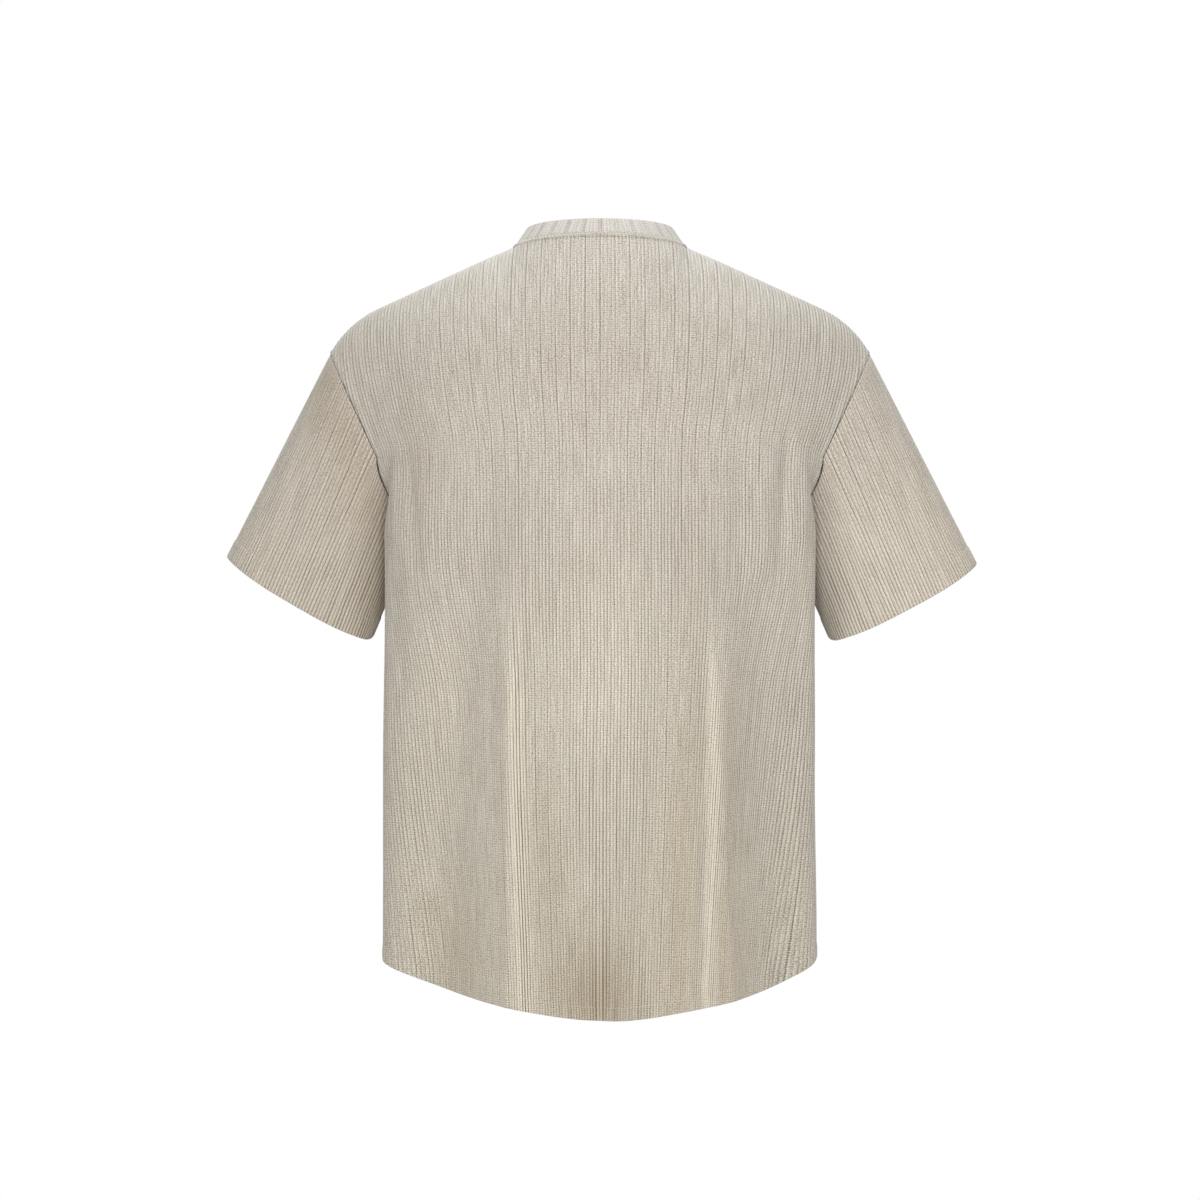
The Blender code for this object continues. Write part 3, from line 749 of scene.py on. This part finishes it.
def armholeLine(side):  # round from the underarm up the back and down the front
    halves = []
    for panel in ("back", "front"):
        shape, normals, row = (panelEdges[panel][key] for key in ("shape", "normals", "underarm"))
        edge = -1 if side > 0 else 0
        halves.append((shape[row:, edge], normals[row:, edge]))
    points = np.concatenate((halves[0][0], halves[1][0][::-1][1:]))
    facing = np.concatenate((halves[0][1], halves[1][1][::-1][1:]))
    count = sleeveCut["aroundRows"]
    half = len(halves[0][0]) - 1
    spots = np.arange(len(points), dtype=float)
    zones = [0, panelCut["armholeRows"], half, 2 * half - panelCut["armholeRows"], 2 * half]
    wanted = np.interp(np.linspace(0, 1, count), sleeveCut["zoneShares"], zones)
    ring, ringFacing = pointsAt(wanted, spots, points), pointsAt(wanted, spots, facing)
    for line in (ring, ringFacing):
        line[(0, -1, count // 2), 1] = 0
    return ring * (side, 1, 1), unit(ringFacing * (side, 1, 1))


def cuffLine(corners, count):  # the sleeve's hem, its points evenly spaced
    outer = np.array((corners["outer"][0], 0, corners["outer"][1]))
    inner = np.array((corners["inner"][0], 0, corners["inner"][1]))
    turn = np.linspace(0, 2 * pi, count)[:, None]
    middle, reach = (outer + inner) / 2, (outer - inner) / 2
    down = unit(np.array((reach[2], 0, -reach[0])))
    depth = np.array((0, sleeveCut["cuffHalfDepth"], 0))
    dip = sleeveCut["cuffDip"] * down * np.sin(turn) ** 2
    full = sleeveCut["fullness"]
    cosine, sine = np.cos(turn), np.sin(turn)
    cuff = middle - reach * np.sign(cosine) * np.abs(cosine) ** full + dip
    cuff = cuff + depth * np.sign(sine) * np.abs(sine) ** full
    spread = runAlong(cuff)
    even = np.linspace(0, spread[-1], count)
    fromInner = np.minimum(even, spread[-1] - even)[:, None]
    rounding = down * sleeveCut["cornerRound"] * bump(fromInner, 2 * sleeveCut["cornerRound"])
    return pointsAt(even, spread, cuff) - rounding


def makeSleeve(name):
    corners = sleeveCorners[name]
    seam, seamFacing = armholeLine(corners["side"])
    cuff = cuffLine(corners, len(seam))
    turn = np.linspace(0, 2 * pi, len(seam))
    along = np.roll(seam[:-1], -1, axis=0) - np.roll(seam[:-1], 1, axis=0)
    along = np.concatenate((along, along[:1]))
    onward = unit(np.cross(seamFacing, along))
    fold = 1 - (onward * unit(cuff - seam)).sum(axis=1, keepdims=True)
    start = seam + body["seamGap"] * (onward + fold * seamFacing)
    outer = np.array((corners["outer"][0], 0, corners["outer"][1]))
    length = np.linalg.norm(outer - start[len(start) // 2])
    hemShares = 1 - np.array(sleeveCut["hemRows"])[::-1] / length
    even = np.linspace(sleeveCut["rowsFrom"], hemShares[0] - 0.01, sleeveCut["rows"])
    below = np.linspace(hemShares[-1] + 0.012, 0.985, 3)
    shares = np.concatenate((sleeveCut["seamRows"], even, hemShares, below, sleeveCut["edgeRows"]))
    points = np.array([start + (cuff - start) * t for t in shares])
    normals = -gridNormals(points, closed=True)
    half = sleeveCut["capHalfWidth"] + (sleeveCut["cuffHalfFlat"] - sleeveCut["capHalfWidth"]) * shares
    ribs = (turn / pi - 1)[None, :] * half[:, None] / knit["pitch"]
    place, normal, number, height = layKnit(points, normals, ribs, 0)

    fromSeam = edgeDistance(place, closelySpaced(start))
    toHem = np.linalg.norm(cuff - start, axis=1)[None, :] * (1 - shares[:, None])
    toHem = np.array([np.interp(number[r], ribs[r], toHem[r]) for r in range(len(shares))])
    fromUnderarm = (np.abs(ribs[:, -1:]) - np.abs(number)) * knit["pitch"]
    fromTop = np.abs(number) * knit["pitch"]
    loose = sleeveCut["drawn"] + (1 - sleeveCut["drawn"]) * ease(fromSeam / sleeveCut["drawnOver"])
    loose = loose + 0.5 * ease((fromTop - sleeveCut["openFrom"]) / sleeveCut["openFrom"])
    beside, besideWidth, above, aboveWidth = sleeveCut["tucked"]
    tucked = bump(fromUnderarm - beside, besideWidth) * bump(toHem - above, aboveWidth)
    loose += sleeveCut["tuckedLoose"] * tucked
    rise = ribRelief(number, loose) * ease(fromSeam / sewing["grooveStart"]) * edgeFade(toHem)
    rise += hemRelief(toHem, sewing["cuffHem"]) + seamRelief(fromSeam, raised=False)
    rise += seamRelief(fromUnderarm, raised=False)
    calm = ease(fromUnderarm / 0.012) * ease(fromSeam / 0.004)
    rise += creaseRelief(sleeveCreases, -number * knit["pitch"], toHem) * calm
    place = (place + normal * rise[..., None]) * (corners["side"], 1, 1)
    normal = normal * (corners["side"], 1, 1)
    # painted light and shade: painted shade in the folded-in place and beside the armhole seam, painted
    # light and shade all over and low down
    raised = sleeveCut["tuckedPaintedShade"] * tucked + corners["seamPaintedShade"] * bump(fromSeam - 0.02, 0.03)
    raised = raised + corners["tone"]
    raised += corners["lowPaintedLightShade"] * ease((0.13 - toHem) / 0.06) * bump(fromTop - 0.12, 0.07)
    # the raised mask carries painted light and shade
    masks = {"loose": loose, "raised": raised}
    piece = clothPiece("sleeve" + name + "Cloth", place, number, -height, masks, knit["thickness"],
                       flip=corners["side"] < 0)
    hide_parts("sleeve_" + name.lower())
    panelEdges["sleeve" + name] = {"place": place, "normal": normal, "toHem": toHem}
    return piece


# the neckband is a strip folded over at the top, with both layers sewn into the neck seam
band = {
    "width": {"back": 0.0185, "side": 0.0200, "front": 0.0200},
    "lean": {"back": radians(40), "side": radians(34), "front": radians(28)},
    "ribs": 30,
    "columns": 16,  # to a rib
    "thickness": 0.00125,
    "proud": 0.0001,
    "upRows": (0, 0.03, 0.08, 0.2, 0.35, 0.5, 0.65, 0.8),
    "foldRows": 7,
    "foldRadius": 0.00135,
    "grooveDepth": 0.0006,
    "groovePair": (0.075, 0.045),  # place beside the rib's middle and width, as shares of a rib
    "shallowDepth": 0.00012,
    "shallowWaves": 5,
    "shallowFrom": 0.16,
    "flat": (0.505, 0.040),
}


def bandRelief(ribs):
    beside = np.abs((ribs + 0.5) % 1 - 0.5)
    at, width = band["groovePair"]
    shallow = 0.5 + 0.5 * np.cos(2 * pi * band["shallowWaves"] * ribs)
    shallow = band["shallowDepth"] * shallow * (beside > band["shallowFrom"])
    return -band["grooveDepth"] * bump(beside - at, width) - shallow


def bandSection(turn):  # up the outer layer, over the fold and down the inner layer
    panel, facing = ("back", 1) if cos(turn) > -1e-9 else ("front", -1)
    local = turn if facing > 0 else pi - turn
    middle, side = cos(local) ** 2, sin(local) ** 2
    lean = band["lean"][panel] * middle + band["lean"]["side"] * side
    width = band["width"][panel] * middle + band["width"]["side"] * side
    outward = np.array((sin(local), cos(local), 0))
    stand = np.array((0, 0, cos(lean))) - outward * sin(lean)
    face = outward * cos(lean) + np.array((0, 0, sin(lean)))
    foot = neckPoint(panel, np.array(local)) + stand * body["seamGap"] * 1.5 + face * band["proud"]
    straight = width - band["foldRadius"]
    line, facings = [], []
    for share in band["upRows"]:
        line.append(foot + stand * straight * share)
        facings.append(face)
    for bend in np.linspace(0, pi, band["foldRows"]):
        centre = foot + stand * straight - face * band["foldRadius"]
        direction = face * cos(bend) + stand * sin(bend)
        line.append(centre + direction * band["foldRadius"])
        facings.append(direction)
    for share in band["upRows"][::-1]:
        line.append(foot + stand * straight * share - face * 2 * band["foldRadius"])
        facings.append(-face)
    return np.array(line) * (1, facing, 1), np.array(facings) * (1, facing, 1)


def makeNeckband():
    count = band["ribs"] * band["columns"]
    turns = np.linspace(0, 2 * pi, count + 1)
    sections = np.array([bandSection(turn) for turn in turns])
    points, facing = sections[:, 0].transpose(1, 0, 2), sections[:, 1].transpose(1, 0, 2)
    number = np.tile(turns / (2 * pi) * band["ribs"], (len(points), 1))
    steps = np.linalg.norm(np.diff(points, axis=0), axis=2)
    height = np.concatenate((np.zeros((1, count + 1)), np.cumsum(steps, axis=0)))
    outside = (np.arange(len(points)) < len(band["upRows"]) + band["foldRows"] / 2)[:, None]
    rise = bandRelief(number) * ease(height / 0.002) * np.where(outside, 1, 0.4)
    fold = np.abs(height - height[len(band["upRows"]) + band["foldRows"] // 2])
    rise *= 0.35 + 0.65 * ease((fold - 0.0005) / 0.003)
    rise += -0.0004 * bump(height, 0.0008)
    place = points + facing * rise[..., None]
    # no painted light or shade on the neckband
    masks = {"loose": 0 * height + 1, "raised": 0 * height}
    piece = clothPiece("neckbandCloth", place, number, height, masks, band["thickness"], flip=True)
    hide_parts("neckband")
    return piece


# stitches
stitching = {
    "neckPitch": 0.0036,
    "neckFrom": 0.0026,  # the middle of the rope, below the neck seam
    "neckLength": 0.0042,
    "neckWidth": 0.00105,
    "neckSlant": radians(118),
    "hemPitch": 0.0032,
    "hemLength": 0.0023,
    "hemWidth": 0.00034,
    "cuffWidth": 0.00026,
    "near": 0.0005,  # half the length over which a line's direction is taken
    "rows": 24,  # of mesh next to the hem or neck, among which the line is looked for
    "proud": 0.25,  # how far a stitch stands out of the cloth, as a share of its width
}


def stitchLine(place, normal, distance, wanted):  # where the cloth is this far from its hem or seam
    points, facing = [], []
    for column in range(place.shape[1]):
        along, order = distance[:, column], slice(None)
        if along[0] > along[-1]:
            order = slice(None, None, -1)
        keys = along[order]
        if not keys[0] < wanted < keys[-1]:
            continue
        points.append([np.interp(wanted, keys, place[order, column, i]) for i in range(3)])
        facing.append([np.interp(wanted, keys, normal[order, column, i]) for i in range(3)])
    return np.array(points), np.array(facing)


def makeStitches(name, lines, pitch, length, width, slant):
    bpy.ops.mesh.primitive_uv_sphere_add(segments=6, ring_count=5, radius=1)
    stitch = bpy.context.object
    mould = stitch.data
    corners = np.array([vertex.co for vertex in mould.vertices]) * (length / 2, width, width)
    faces = sorted(tuple(face.vertices) for face in mould.polygons)
    bpy.data.objects.remove(stitch)
    verts, polygons = [], []
    for points, facing in lines:
        along = runAlong(points)
        count = max(int(along[-1] / pitch), 1)
        spots = (np.arange(count) + 0.5) / count * along[-1]
        at, up = pointsAt(spots, along, points), unit(pointsAt(spots, along, facing))
        near = stitching["near"]
        forward = unit(pointsAt(spots + near, along, points) - pointsAt(spots - near, along, points))
        sideways = unit(np.cross(up, forward))
        heading = forward * cos(slant) + sideways * sin(slant)
        beside = np.cross(up, heading)
        for i in range(count):
            turned = corners @ np.array((heading[i], beside[i], up[i]))
            base = len(verts) * len(corners)
            verts.append(turned + at[i] + up[i] * width * stitching["proud"])
            polygons += [tuple(base + v for v in face) for face in faces]
    mesh = bpy.data.meshes.new(name)
    mesh.from_pydata(np.concatenate(verts).tolist(), [], polygons)
    piece = bpy.data.objects.new(name, mesh)
    bpy.context.collection.objects.link(piece)
    mesh.shade_smooth()
    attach(piece, "root")
    mesh.calc_loop_triangles()
    print(name, len(verts), "stitches,", len(mesh.loop_triangles), "triangles")
    return piece


# small helpers for materials
def nodeGroup(name, inputs, outputs):
    group = bpy.data.node_groups.new(name, "ShaderNodeTree")
    for label, kind, value in inputs:
        socket = group.interface.new_socket(label, in_out="INPUT", socket_type=kind)
        if value is not None:
            socket.default_value = value
    for label, kind in outputs:
        group.interface.new_socket(label, in_out="OUTPUT", socket_type=kind)
    return group, group.nodes.new("NodeGroupInput"), group.nodes.new("NodeGroupOutput")


def mathNode(tree, operation, first, second=None):
    node = tree.nodes.new("ShaderNodeMath")
    node.operation = operation
    for socket, value in zip(node.inputs, (first, second)):
        if value is None:
            continue
        if isinstance(value, (int, float)):
            socket.default_value = value
        else:
            tree.links.new(value, socket)
    return node.outputs[0]


def rangeNode(tree, value, low, high, toLow=0.0, toHigh=1.0, smooth=True):
    node = tree.nodes.new("ShaderNodeMapRange")
    node.interpolation_type = "SMOOTHSTEP" if smooth else "LINEAR"
    for label, number in (("From Min", low), ("From Max", high), ("To Min", toLow), ("To Max", toHigh)):
        node.inputs[label].default_value = number
    tree.links.new(value, node.inputs["Value"])
    return node.outputs["Result"]


def mixColour(tree, share, first, second, blend="MIX"):
    node = tree.nodes.new("ShaderNodeMix")
    node.data_type = "RGBA"
    node.blend_type = blend
    for socket, value in ((node.inputs[0], share), (node.inputs[6], first), (node.inputs[7], second)):
        if isinstance(value, (int, float, tuple)):
            socket.default_value = value
        else:
            tree.links.new(value, socket)
    return node.outputs[2]


def noiseNode(tree, vector, scale, detail=2.0, roughness=0.5):
    node = tree.nodes.new("ShaderNodeTexNoise")
    node.inputs["Scale"].default_value = scale
    node.inputs["Detail"].default_value = detail
    node.inputs["Roughness"].default_value = roughness
    tree.links.new(vector, node.inputs["Vector"])
    return node.outputs["Fac"]


yarnPattern = {
    "course": 0.00215,  # height of one row of stitches
    "drawn": 0.05,  # marks are drawn out along the ribs by one over this
    "unevenness": 0.45,  # of the stitches' places
    "noise": {"grain": 980.0, "streak": 640.0, "warm": 210.0, "fine": 210.0, "patch": 120.0, "stagger": 70.0,
              "slow": 16.0},
    "fleckShares": {"loop": 0.62, "grain": 0.62, "streak": 0.34, "slow": 0.018},
    "fleckDrawn": 1.10,  # strength of the fleck where the cloth is drawn smooth, and its loss where loose
    "fleckLoose": -0.28,
    "channels": (0.93, 1.0, 1.12),  # light flecks are paler and dark ones browner
    "warmTints": ((0.997, 1.0, 1.010, 1), (1.004, 1.0, 0.988, 1)),
    "paintedLightShadeTints": ((0.998, 1.0, 1.022, 1), (1.004, 1.000, 0.968, 1)),  # painted light and shade: cooler above, where the cool top light falls, and warmer below, in shade
    "heights": (-0.05, -0.60),
    # colours of the painted highlight and of the painted shade
    "paintedHighlight": (1.31, 1.295, 1.275, 1),
    "flat": (0.765, 0.695, 0.600, 1),
    "lip": 0.16,
    "relief": {"groove": -1.0, "fine": -0.6, "loop": 0.16, "grain": 0.07},
}


def buildRibGroup():
    group, start, end = nodeGroup(
        "ribKnit",
        (
            ("Knit", "NodeSocketVector", None),  # ribs across and metres along
            ("Loose", "NodeSocketFloat", 1.0),
            # painted light (over 0) and painted shade (under 0)
            ("PaintedLightAndShade", "NodeSocketFloat", 0.0),
            ("Yarn", "NodeSocketColor", (0.5, 0.45, 0.38, 1)),
            # the colour of the painted shade in the grooves
            ("Shade", "NodeSocketColor", (0.2, 0.16, 0.12, 1)),
            ("Light", "NodeSocketColor", (0.7, 0.66, 0.58, 1)),
            ("Pitch", "NodeSocketFloat", 0.0122),
            ("Gap", "NodeSocketFloat", 0.0),
            ("Width", "NodeSocketFloat", 0.075),
            ("Deep", "NodeSocketFloat", 0.7),
            ("Columns", "NodeSocketFloat", 4.0),
            ("Shallow", "NodeSocketFloat", 0.5),
            ("Fleck", "NodeSocketFloat", 0.2),
        ),
        (("Color", "NodeSocketColor"), ("Height", "NodeSocketFloat")),
    )
    scales, shares, relief = yarnPattern["noise"], yarnPattern["fleckShares"], yarnPattern["relief"]
    given = start.outputs
    split = group.nodes.new("ShaderNodeSeparateXYZ")
    group.links.new(given["Knit"], split.inputs[0])
    ribs, along = split.outputs[0], split.outputs[1]

    def add(first, second):
        return mathNode(group, "ADD", first, second)

    def times(first, second):
        return mathNode(group, "MULTIPLY", first, second)

    def apart(number, centre):  # distance from a centre line
        return mathNode(group, "ABSOLUTE", mathNode(group, "SUBTRACT", number, centre))

    def besideLine(number):
        return apart(mathNode(group, "FRACT", add(number, 1000.5)), 0.5)

    def flatPlace(x, y):
        join = group.nodes.new("ShaderNodeCombineXYZ")
        group.links.new(x, join.inputs[0])
        group.links.new(y, join.inputs[1])
        return join.outputs[0]

    acrossCloth = times(ribs, given["Pitch"])
    cloth = flatPlace(acrossCloth, along)
    drawn = flatPlace(acrossCloth, times(along, yarnPattern["drawn"]))
    courses = times(along, 1 / yarnPattern["course"])

    def spread(place, kind, detail, low, high, toLow=-1.0, roughness=0.5, smooth=False):  # noise as a mask
        noise = noiseNode(group, place, scales[kind], detail, roughness)
        return rangeNode(group, noise, low, high, toLow, 1.0, smooth)

    # single stitches, in columns between the grooves
    stitch = group.nodes.new("ShaderNodeTexVoronoi")
    stitch.voronoi_dimensions = "2D"
    stitch.inputs["Scale"].default_value = 1.0
    stitch.inputs["Randomness"].default_value = yarnPattern["unevenness"]
    group.links.new(flatPlace(times(times(ribs, given["Columns"]), 2.0), courses), stitch.inputs["Vector"])
    loop = rangeNode(group, stitch.outputs["Distance"], 0.12, 0.62, 1.0, -1.0)
    grain = spread(cloth, "grain", 1.0, 0.34, 0.66, roughness=0.6)
    streak = spread(drawn, "streak", 1.0, 0.32, 0.68, roughness=0.6)
    slow = spread(cloth, "slow", 2.0, 0.3, 0.7)
    fleck = add(times(loop, shares["loop"]), times(grain, shares["grain"]))
    fleck = add(fleck, times(streak, shares["streak"]))
    fleck = times(fleck, add(times(given["Loose"], yarnPattern["fleckLoose"]), yarnPattern["fleckDrawn"]))
    fleck = add(times(fleck, given["Fleck"]), times(slow, shares["slow"]))

    # the deep groove, painted as shade that is dotted where the yarn crosses it, with a light line on either
    # side
    near = mathNode(group, "DIVIDE", apart(besideLine(ribs), given["Gap"]), given["Width"])
    stagger = times(noiseNode(group, cloth, scales["stagger"], 1.0), 1.2)
    dots = mathNode(group, "SINE", times(add(courses, stagger), 2 * pi))
    dotted = rangeNode(group, dots, -0.5, 0.7, 0.22, 1.0)
    patch = spread(drawn, "patch", 1.0, 0.3, 0.65, toLow=0.55, smooth=True)
    groove = times(times(rangeNode(group, near, 0.2, 1.0, 1.0, 0.0), dotted), patch)
    lip = rangeNode(group, apart(near, 1.9), 0.0, 0.9, 1.0, 0.0)

    # shallow grooves between the columns, also painted as shade
    fine = rangeNode(group, besideLine(times(ribs, given["Columns"])), 0.02, 0.30, 1.0, 0.0)
    fine = times(fine, rangeNode(group, near, 1.0, 1.8, 0.0, 1.0))
    finePatch = spread(drawn, "fine", 1.0, 0.3, 0.65, toLow=0.70, smooth=True)
    openness = add(times(given["Loose"], 0.80), 0.20)
    fine = times(times(fine, finePatch), openness)

    def multiplied(colour, tint):
        return mixColour(group, 1.0, colour, tint, "MULTIPLY")

    # the yarn's colour, with its flecks and its slow drift, and painted light and shade
    shadeColour = group.nodes.new("ShaderNodeCombineColor")
    for socket, depth in zip(shadeColour.inputs, yarnPattern["channels"]):
        group.links.new(add(times(fleck, depth), 1.0), socket)
    yarn = multiplied(given["Yarn"], shadeColour.outputs[0])
    warm = spread(cloth, "warm", 2.0, 0.35, 0.65, toLow=0.0, smooth=True)
    yarn = multiplied(yarn, mixColour(group, warm, *yarnPattern["warmTints"]))
    # painted light and shade, cooler towards the top and warmer towards the hem
    low = rangeNode(group, along, *yarnPattern["heights"], smooth=False)
    yarn = multiplied(yarn, mixColour(group, low, *yarnPattern["paintedLightShadeTints"]))
    # painted highlight and painted shade, from the mask of painted light and shade
    for tone, most in (("paintedHighlight", 2.0), ("flat", -2.0)):
        share = rangeNode(group, given["PaintedLightAndShade"], 0.0, most, smooth=False)
        yarn = mixColour(group, share, yarn, multiplied(yarn, yarnPattern[tone]))
    yarn = mixColour(group, times(lip, yarnPattern["lip"]), yarn, given["Light"])
    # painted shade in the shallow and the deep grooves
    yarn = mixColour(group, times(fine, given["Shallow"]), yarn, given["Shade"])
    colour = mixColour(group, times(groove, given["Deep"]), yarn, given["Shade"])

    height = add(times(groove, relief["groove"]), times(fine, relief["fine"]))
    height = add(height, add(times(loop, relief["loop"]), times(grain, relief["grain"])))
    group.links.new(colour, end.inputs["Color"])
    group.links.new(height, end.inputs["Height"])
    return group


ribGroup = buildRibGroup()

finishes = {  # Pitch is the width of a rib, and Gap and Width are shares of it
    "bodyKnit": {
        "Yarn": (0.521, 0.479, 0.410), "Shade": (0.100, 0.074, 0.050), "Light": (0.700, 0.655, 0.585),
        "Pitch": 0.0122, "Gap": 0.0, "Width": 0.060, "Deep": 1.0, "Columns": 4.0,
        "Shallow": 0.58, "Fleck": 0.38,
    },
    "sleeveKnit": {
        "Yarn": (0.508, 0.460, 0.384), "Shade": (0.105, 0.075, 0.050), "Light": (0.690, 0.640, 0.565),
        "Pitch": 0.0122, "Gap": 0.0, "Width": 0.062, "Deep": 1.0, "Columns": 4.0,
        "Shallow": 0.52, "Fleck": 0.36,
    },
    "bandKnit": {
        "Yarn": (0.570, 0.532, 0.474), "Shade": (0.190, 0.155, 0.125), "Light": (0.700, 0.665, 0.615),
        "Pitch": 0.0168, "Gap": 0.080, "Width": 0.085, "Deep": 0.80, "Columns": 5.0,
        "Shallow": 0.26, "Fleck": 0.28,
    },
}
nap = {"Roughness": 0.92, "Specular IOR Level": 0.2, "Sheen Weight": 0.25, "Sheen Roughness": 0.45}
threadNap = {"Roughness": 0.8, "Sheen Weight": 0.2}
threadColours = (0.44, 0.41, 0.36, 1), (0.64, 0.60, 0.54, 1)


def knitMaterial(name):
    material = bpy.data.materials.new(name)
    material.use_nodes = True
    tree = material.node_tree
    shader = tree.nodes["Principled BSDF"]
    knitMap = tree.nodes.new("ShaderNodeUVMap")
    knitMap.uv_map = "knit"
    ribs = tree.nodes.new("ShaderNodeGroup")
    ribs.node_tree = ribGroup
    tree.links.new(knitMap.outputs[0], ribs.inputs["Knit"])
    # the raised mask is painted light and shade
    for label, layer in (("Loose", "loose"), ("PaintedLightAndShade", "raised")):
        mask = tree.nodes.new("ShaderNodeAttribute")
        mask.attribute_name = layer
        tree.links.new(mask.outputs["Fac"], ribs.inputs[label])
    for label, value in finishes[name].items():
        ribs.inputs[label].default_value = (*value, 1) if isinstance(value, tuple) else value
    tree.links.new(ribs.outputs["Color"], shader.inputs["Base Color"])
    relief = tree.nodes.new("ShaderNodeBump")
    relief.inputs["Strength"].default_value = 0.7
    relief.inputs["Distance"].default_value = 0.0006
    tree.links.new(ribs.outputs["Height"], relief.inputs["Height"])
    tree.links.new(relief.outputs[0], shader.inputs["Normal"])
    for label, value in nap.items():
        shader.inputs[label].default_value = value
    shader.inputs["Sheen Tint"].default_value = (1.0, 1.0, 1.0, 1)
    return material


def threadMaterial():
    material = bpy.data.materials.new("thread")
    material.use_nodes = True
    tree = material.node_tree
    shader = tree.nodes["Principled BSDF"]
    place = tree.nodes.new("ShaderNodeTexCoord")
    twist = noiseNode(tree, place.outputs["Object"], 1500.0, 2.0)
    colour = mixColour(tree, rangeNode(tree, twist, 0.35, 0.65), *threadColours)
    tree.links.new(colour, shader.inputs["Base Color"])
    for label, value in threadNap.items():
        shader.inputs[label].default_value = value
    return material


# make the pieces, back and front first because the sleeves start from their armholes
cloths = {panel: makePanel(panel) for panel in ("back", "front")}
print("back and front laid")
for sleeve in sleeveCorners:
    cloths["sleeve" + sleeve] = makeSleeve(sleeve)
cloths["neckband"] = makeNeckband()
print("sleeves and neckband laid")


def neckStitchLine(panel):
    edges, rows = panelEdges[panel], slice(-stitching["rows"], None)
    inNeck = np.abs(edges["place"][-1, :, 0]) < shoulder["high"][0] + 0.0005
    points, facing = stitchLine(edges["place"][rows, inNeck], edges["normal"][rows, inNeck],
                                edges["fromTop"][rows, inNeck], stitching["neckFrom"])
    order = slice(None) if panel == "front" else slice(None, None, -1)
    return points[order], facing[order]


def hemStitchLine(panel):
    edges, rows = panelEdges[panel], slice(stitching["rows"])
    return stitchLine(edges["place"][rows], edges["normal"][rows], edges["fromHem"][rows], sewing["hem"])


neckLines = [neckStitchLine(panel) for panel in ("back", "front")]
stitches = [makeStitches("neckStitching", neckLines, stitching["neckPitch"], stitching["neckLength"],
                         stitching["neckWidth"], stitching["neckSlant"])]
hemLines = [hemStitchLine(panel) for panel in ("back", "front")]
stitches.append(makeStitches("hemStitching", hemLines, stitching["hemPitch"], stitching["hemLength"],
                             stitching["hemWidth"], 0.0))
for sleeve in sleeveCorners:
    edges = panelEdges["sleeve" + sleeve]
    line = stitchLine(edges["place"], edges["normal"], edges["toHem"], sewing["cuffHem"])
    stitches.append(makeStitches("cuffStitching" + sleeve, [line], stitching["hemPitch"],
                                 stitching["hemLength"], stitching["cuffWidth"], 0.0))

bodyKnit, sleeveKnit, bandKnit = (knitMaterial(name) for name in ("bodyKnit", "sleeveKnit", "bandKnit"))
thread = threadMaterial()
for name, piece in cloths.items():
    piece.data.materials.clear()
    chosen = bandKnit if name == "neckband" else sleeveKnit if name.startswith("sleeve") else bodyKnit
    piece.data.materials.append(chosen)
for piece in stitches:
    piece.data.materials.append(thread)
print("materials made")


# floor, light and camera
studio = {
    "floorHeight": -1.25,
    "floorRadius": 2.1,
    "ambient": 0.37,
    "lights": {  # place, size, power and colour
        "backSoftbox": ((-0.10, 3.50, 0.45), 2.2, 99, (1.0, 1.0, 1.0)),
        "frontSoftbox": ((0.60, -3.50, 0.70), 2.8, 84, (1.0, 1.0, 1.0)),
        "overhead": ((0.0, -0.35, 1.60), 1.3, 27, (0.93, 0.97, 1.0)),
    },
    "aim": (0.0, 0.0, -0.35),
}
photo = {"distance": 3.2, "height": -0.3255, "pixels": 1200, "pixel": 0.00093}  # a pixel's size in metres

bpy.ops.mesh.primitive_cylinder_add(vertices=96, radius=studio["floorRadius"], depth=0.02,
                                    location=(0, 0, studio["floorHeight"] - 0.01))
floor = bpy.context.object
floor.name = "floor"
pale = bpy.data.materials.new("paleFloor")
pale.use_nodes = True
pale.node_tree.nodes["Principled BSDF"].inputs["Base Color"].default_value = (0.93, 0.93, 0.93, 1)
pale.node_tree.nodes["Principled BSDF"].inputs["Roughness"].default_value = 0.9
floor.data.materials.append(pale)

world = bpy.data.worlds.new("studio")
bpy.context.scene.world = world
world.use_nodes = True
tree = world.node_tree
background = tree.nodes["Background"]
background.inputs["Color"].default_value = (1, 1, 1, 1)
rays = tree.nodes.new("ShaderNodeLightPath")
brightness = tree.nodes.new("ShaderNodeMapRange")
brightness.inputs["To Min"].default_value = studio["ambient"]
brightness.inputs["To Max"].default_value = 1.0
tree.links.new(rays.outputs["Is Camera Ray"], brightness.inputs["Value"])
tree.links.new(brightness.outputs["Result"], background.inputs["Strength"])

for name, (place, size, power, colour) in studio["lights"].items():
    bpy.ops.object.light_add(type="AREA", location=place)
    light = bpy.context.object
    light.name = name
    light.data.shape = "DISK"
    light.data.size = size
    light.data.energy = power
    light.data.color = colour
    light.rotation_euler = (Vector(studio["aim"]) - Vector(place)).to_track_quat("-Z", "Y").to_euler()

bpy.ops.object.camera_add(location=(0, photo["distance"], photo["height"]),
                          rotation=(radians(90), 0, radians(180)))
camera = bpy.context.object
camera.data.sensor_width = 36
camera.data.lens = camera.data.sensor_width / 2 / (photo["pixels"] / 2 * photo["pixel"] / photo["distance"])
bpy.context.scene.camera = camera
bpy.context.scene.view_settings.view_transform = "Standard"
print("studio set")
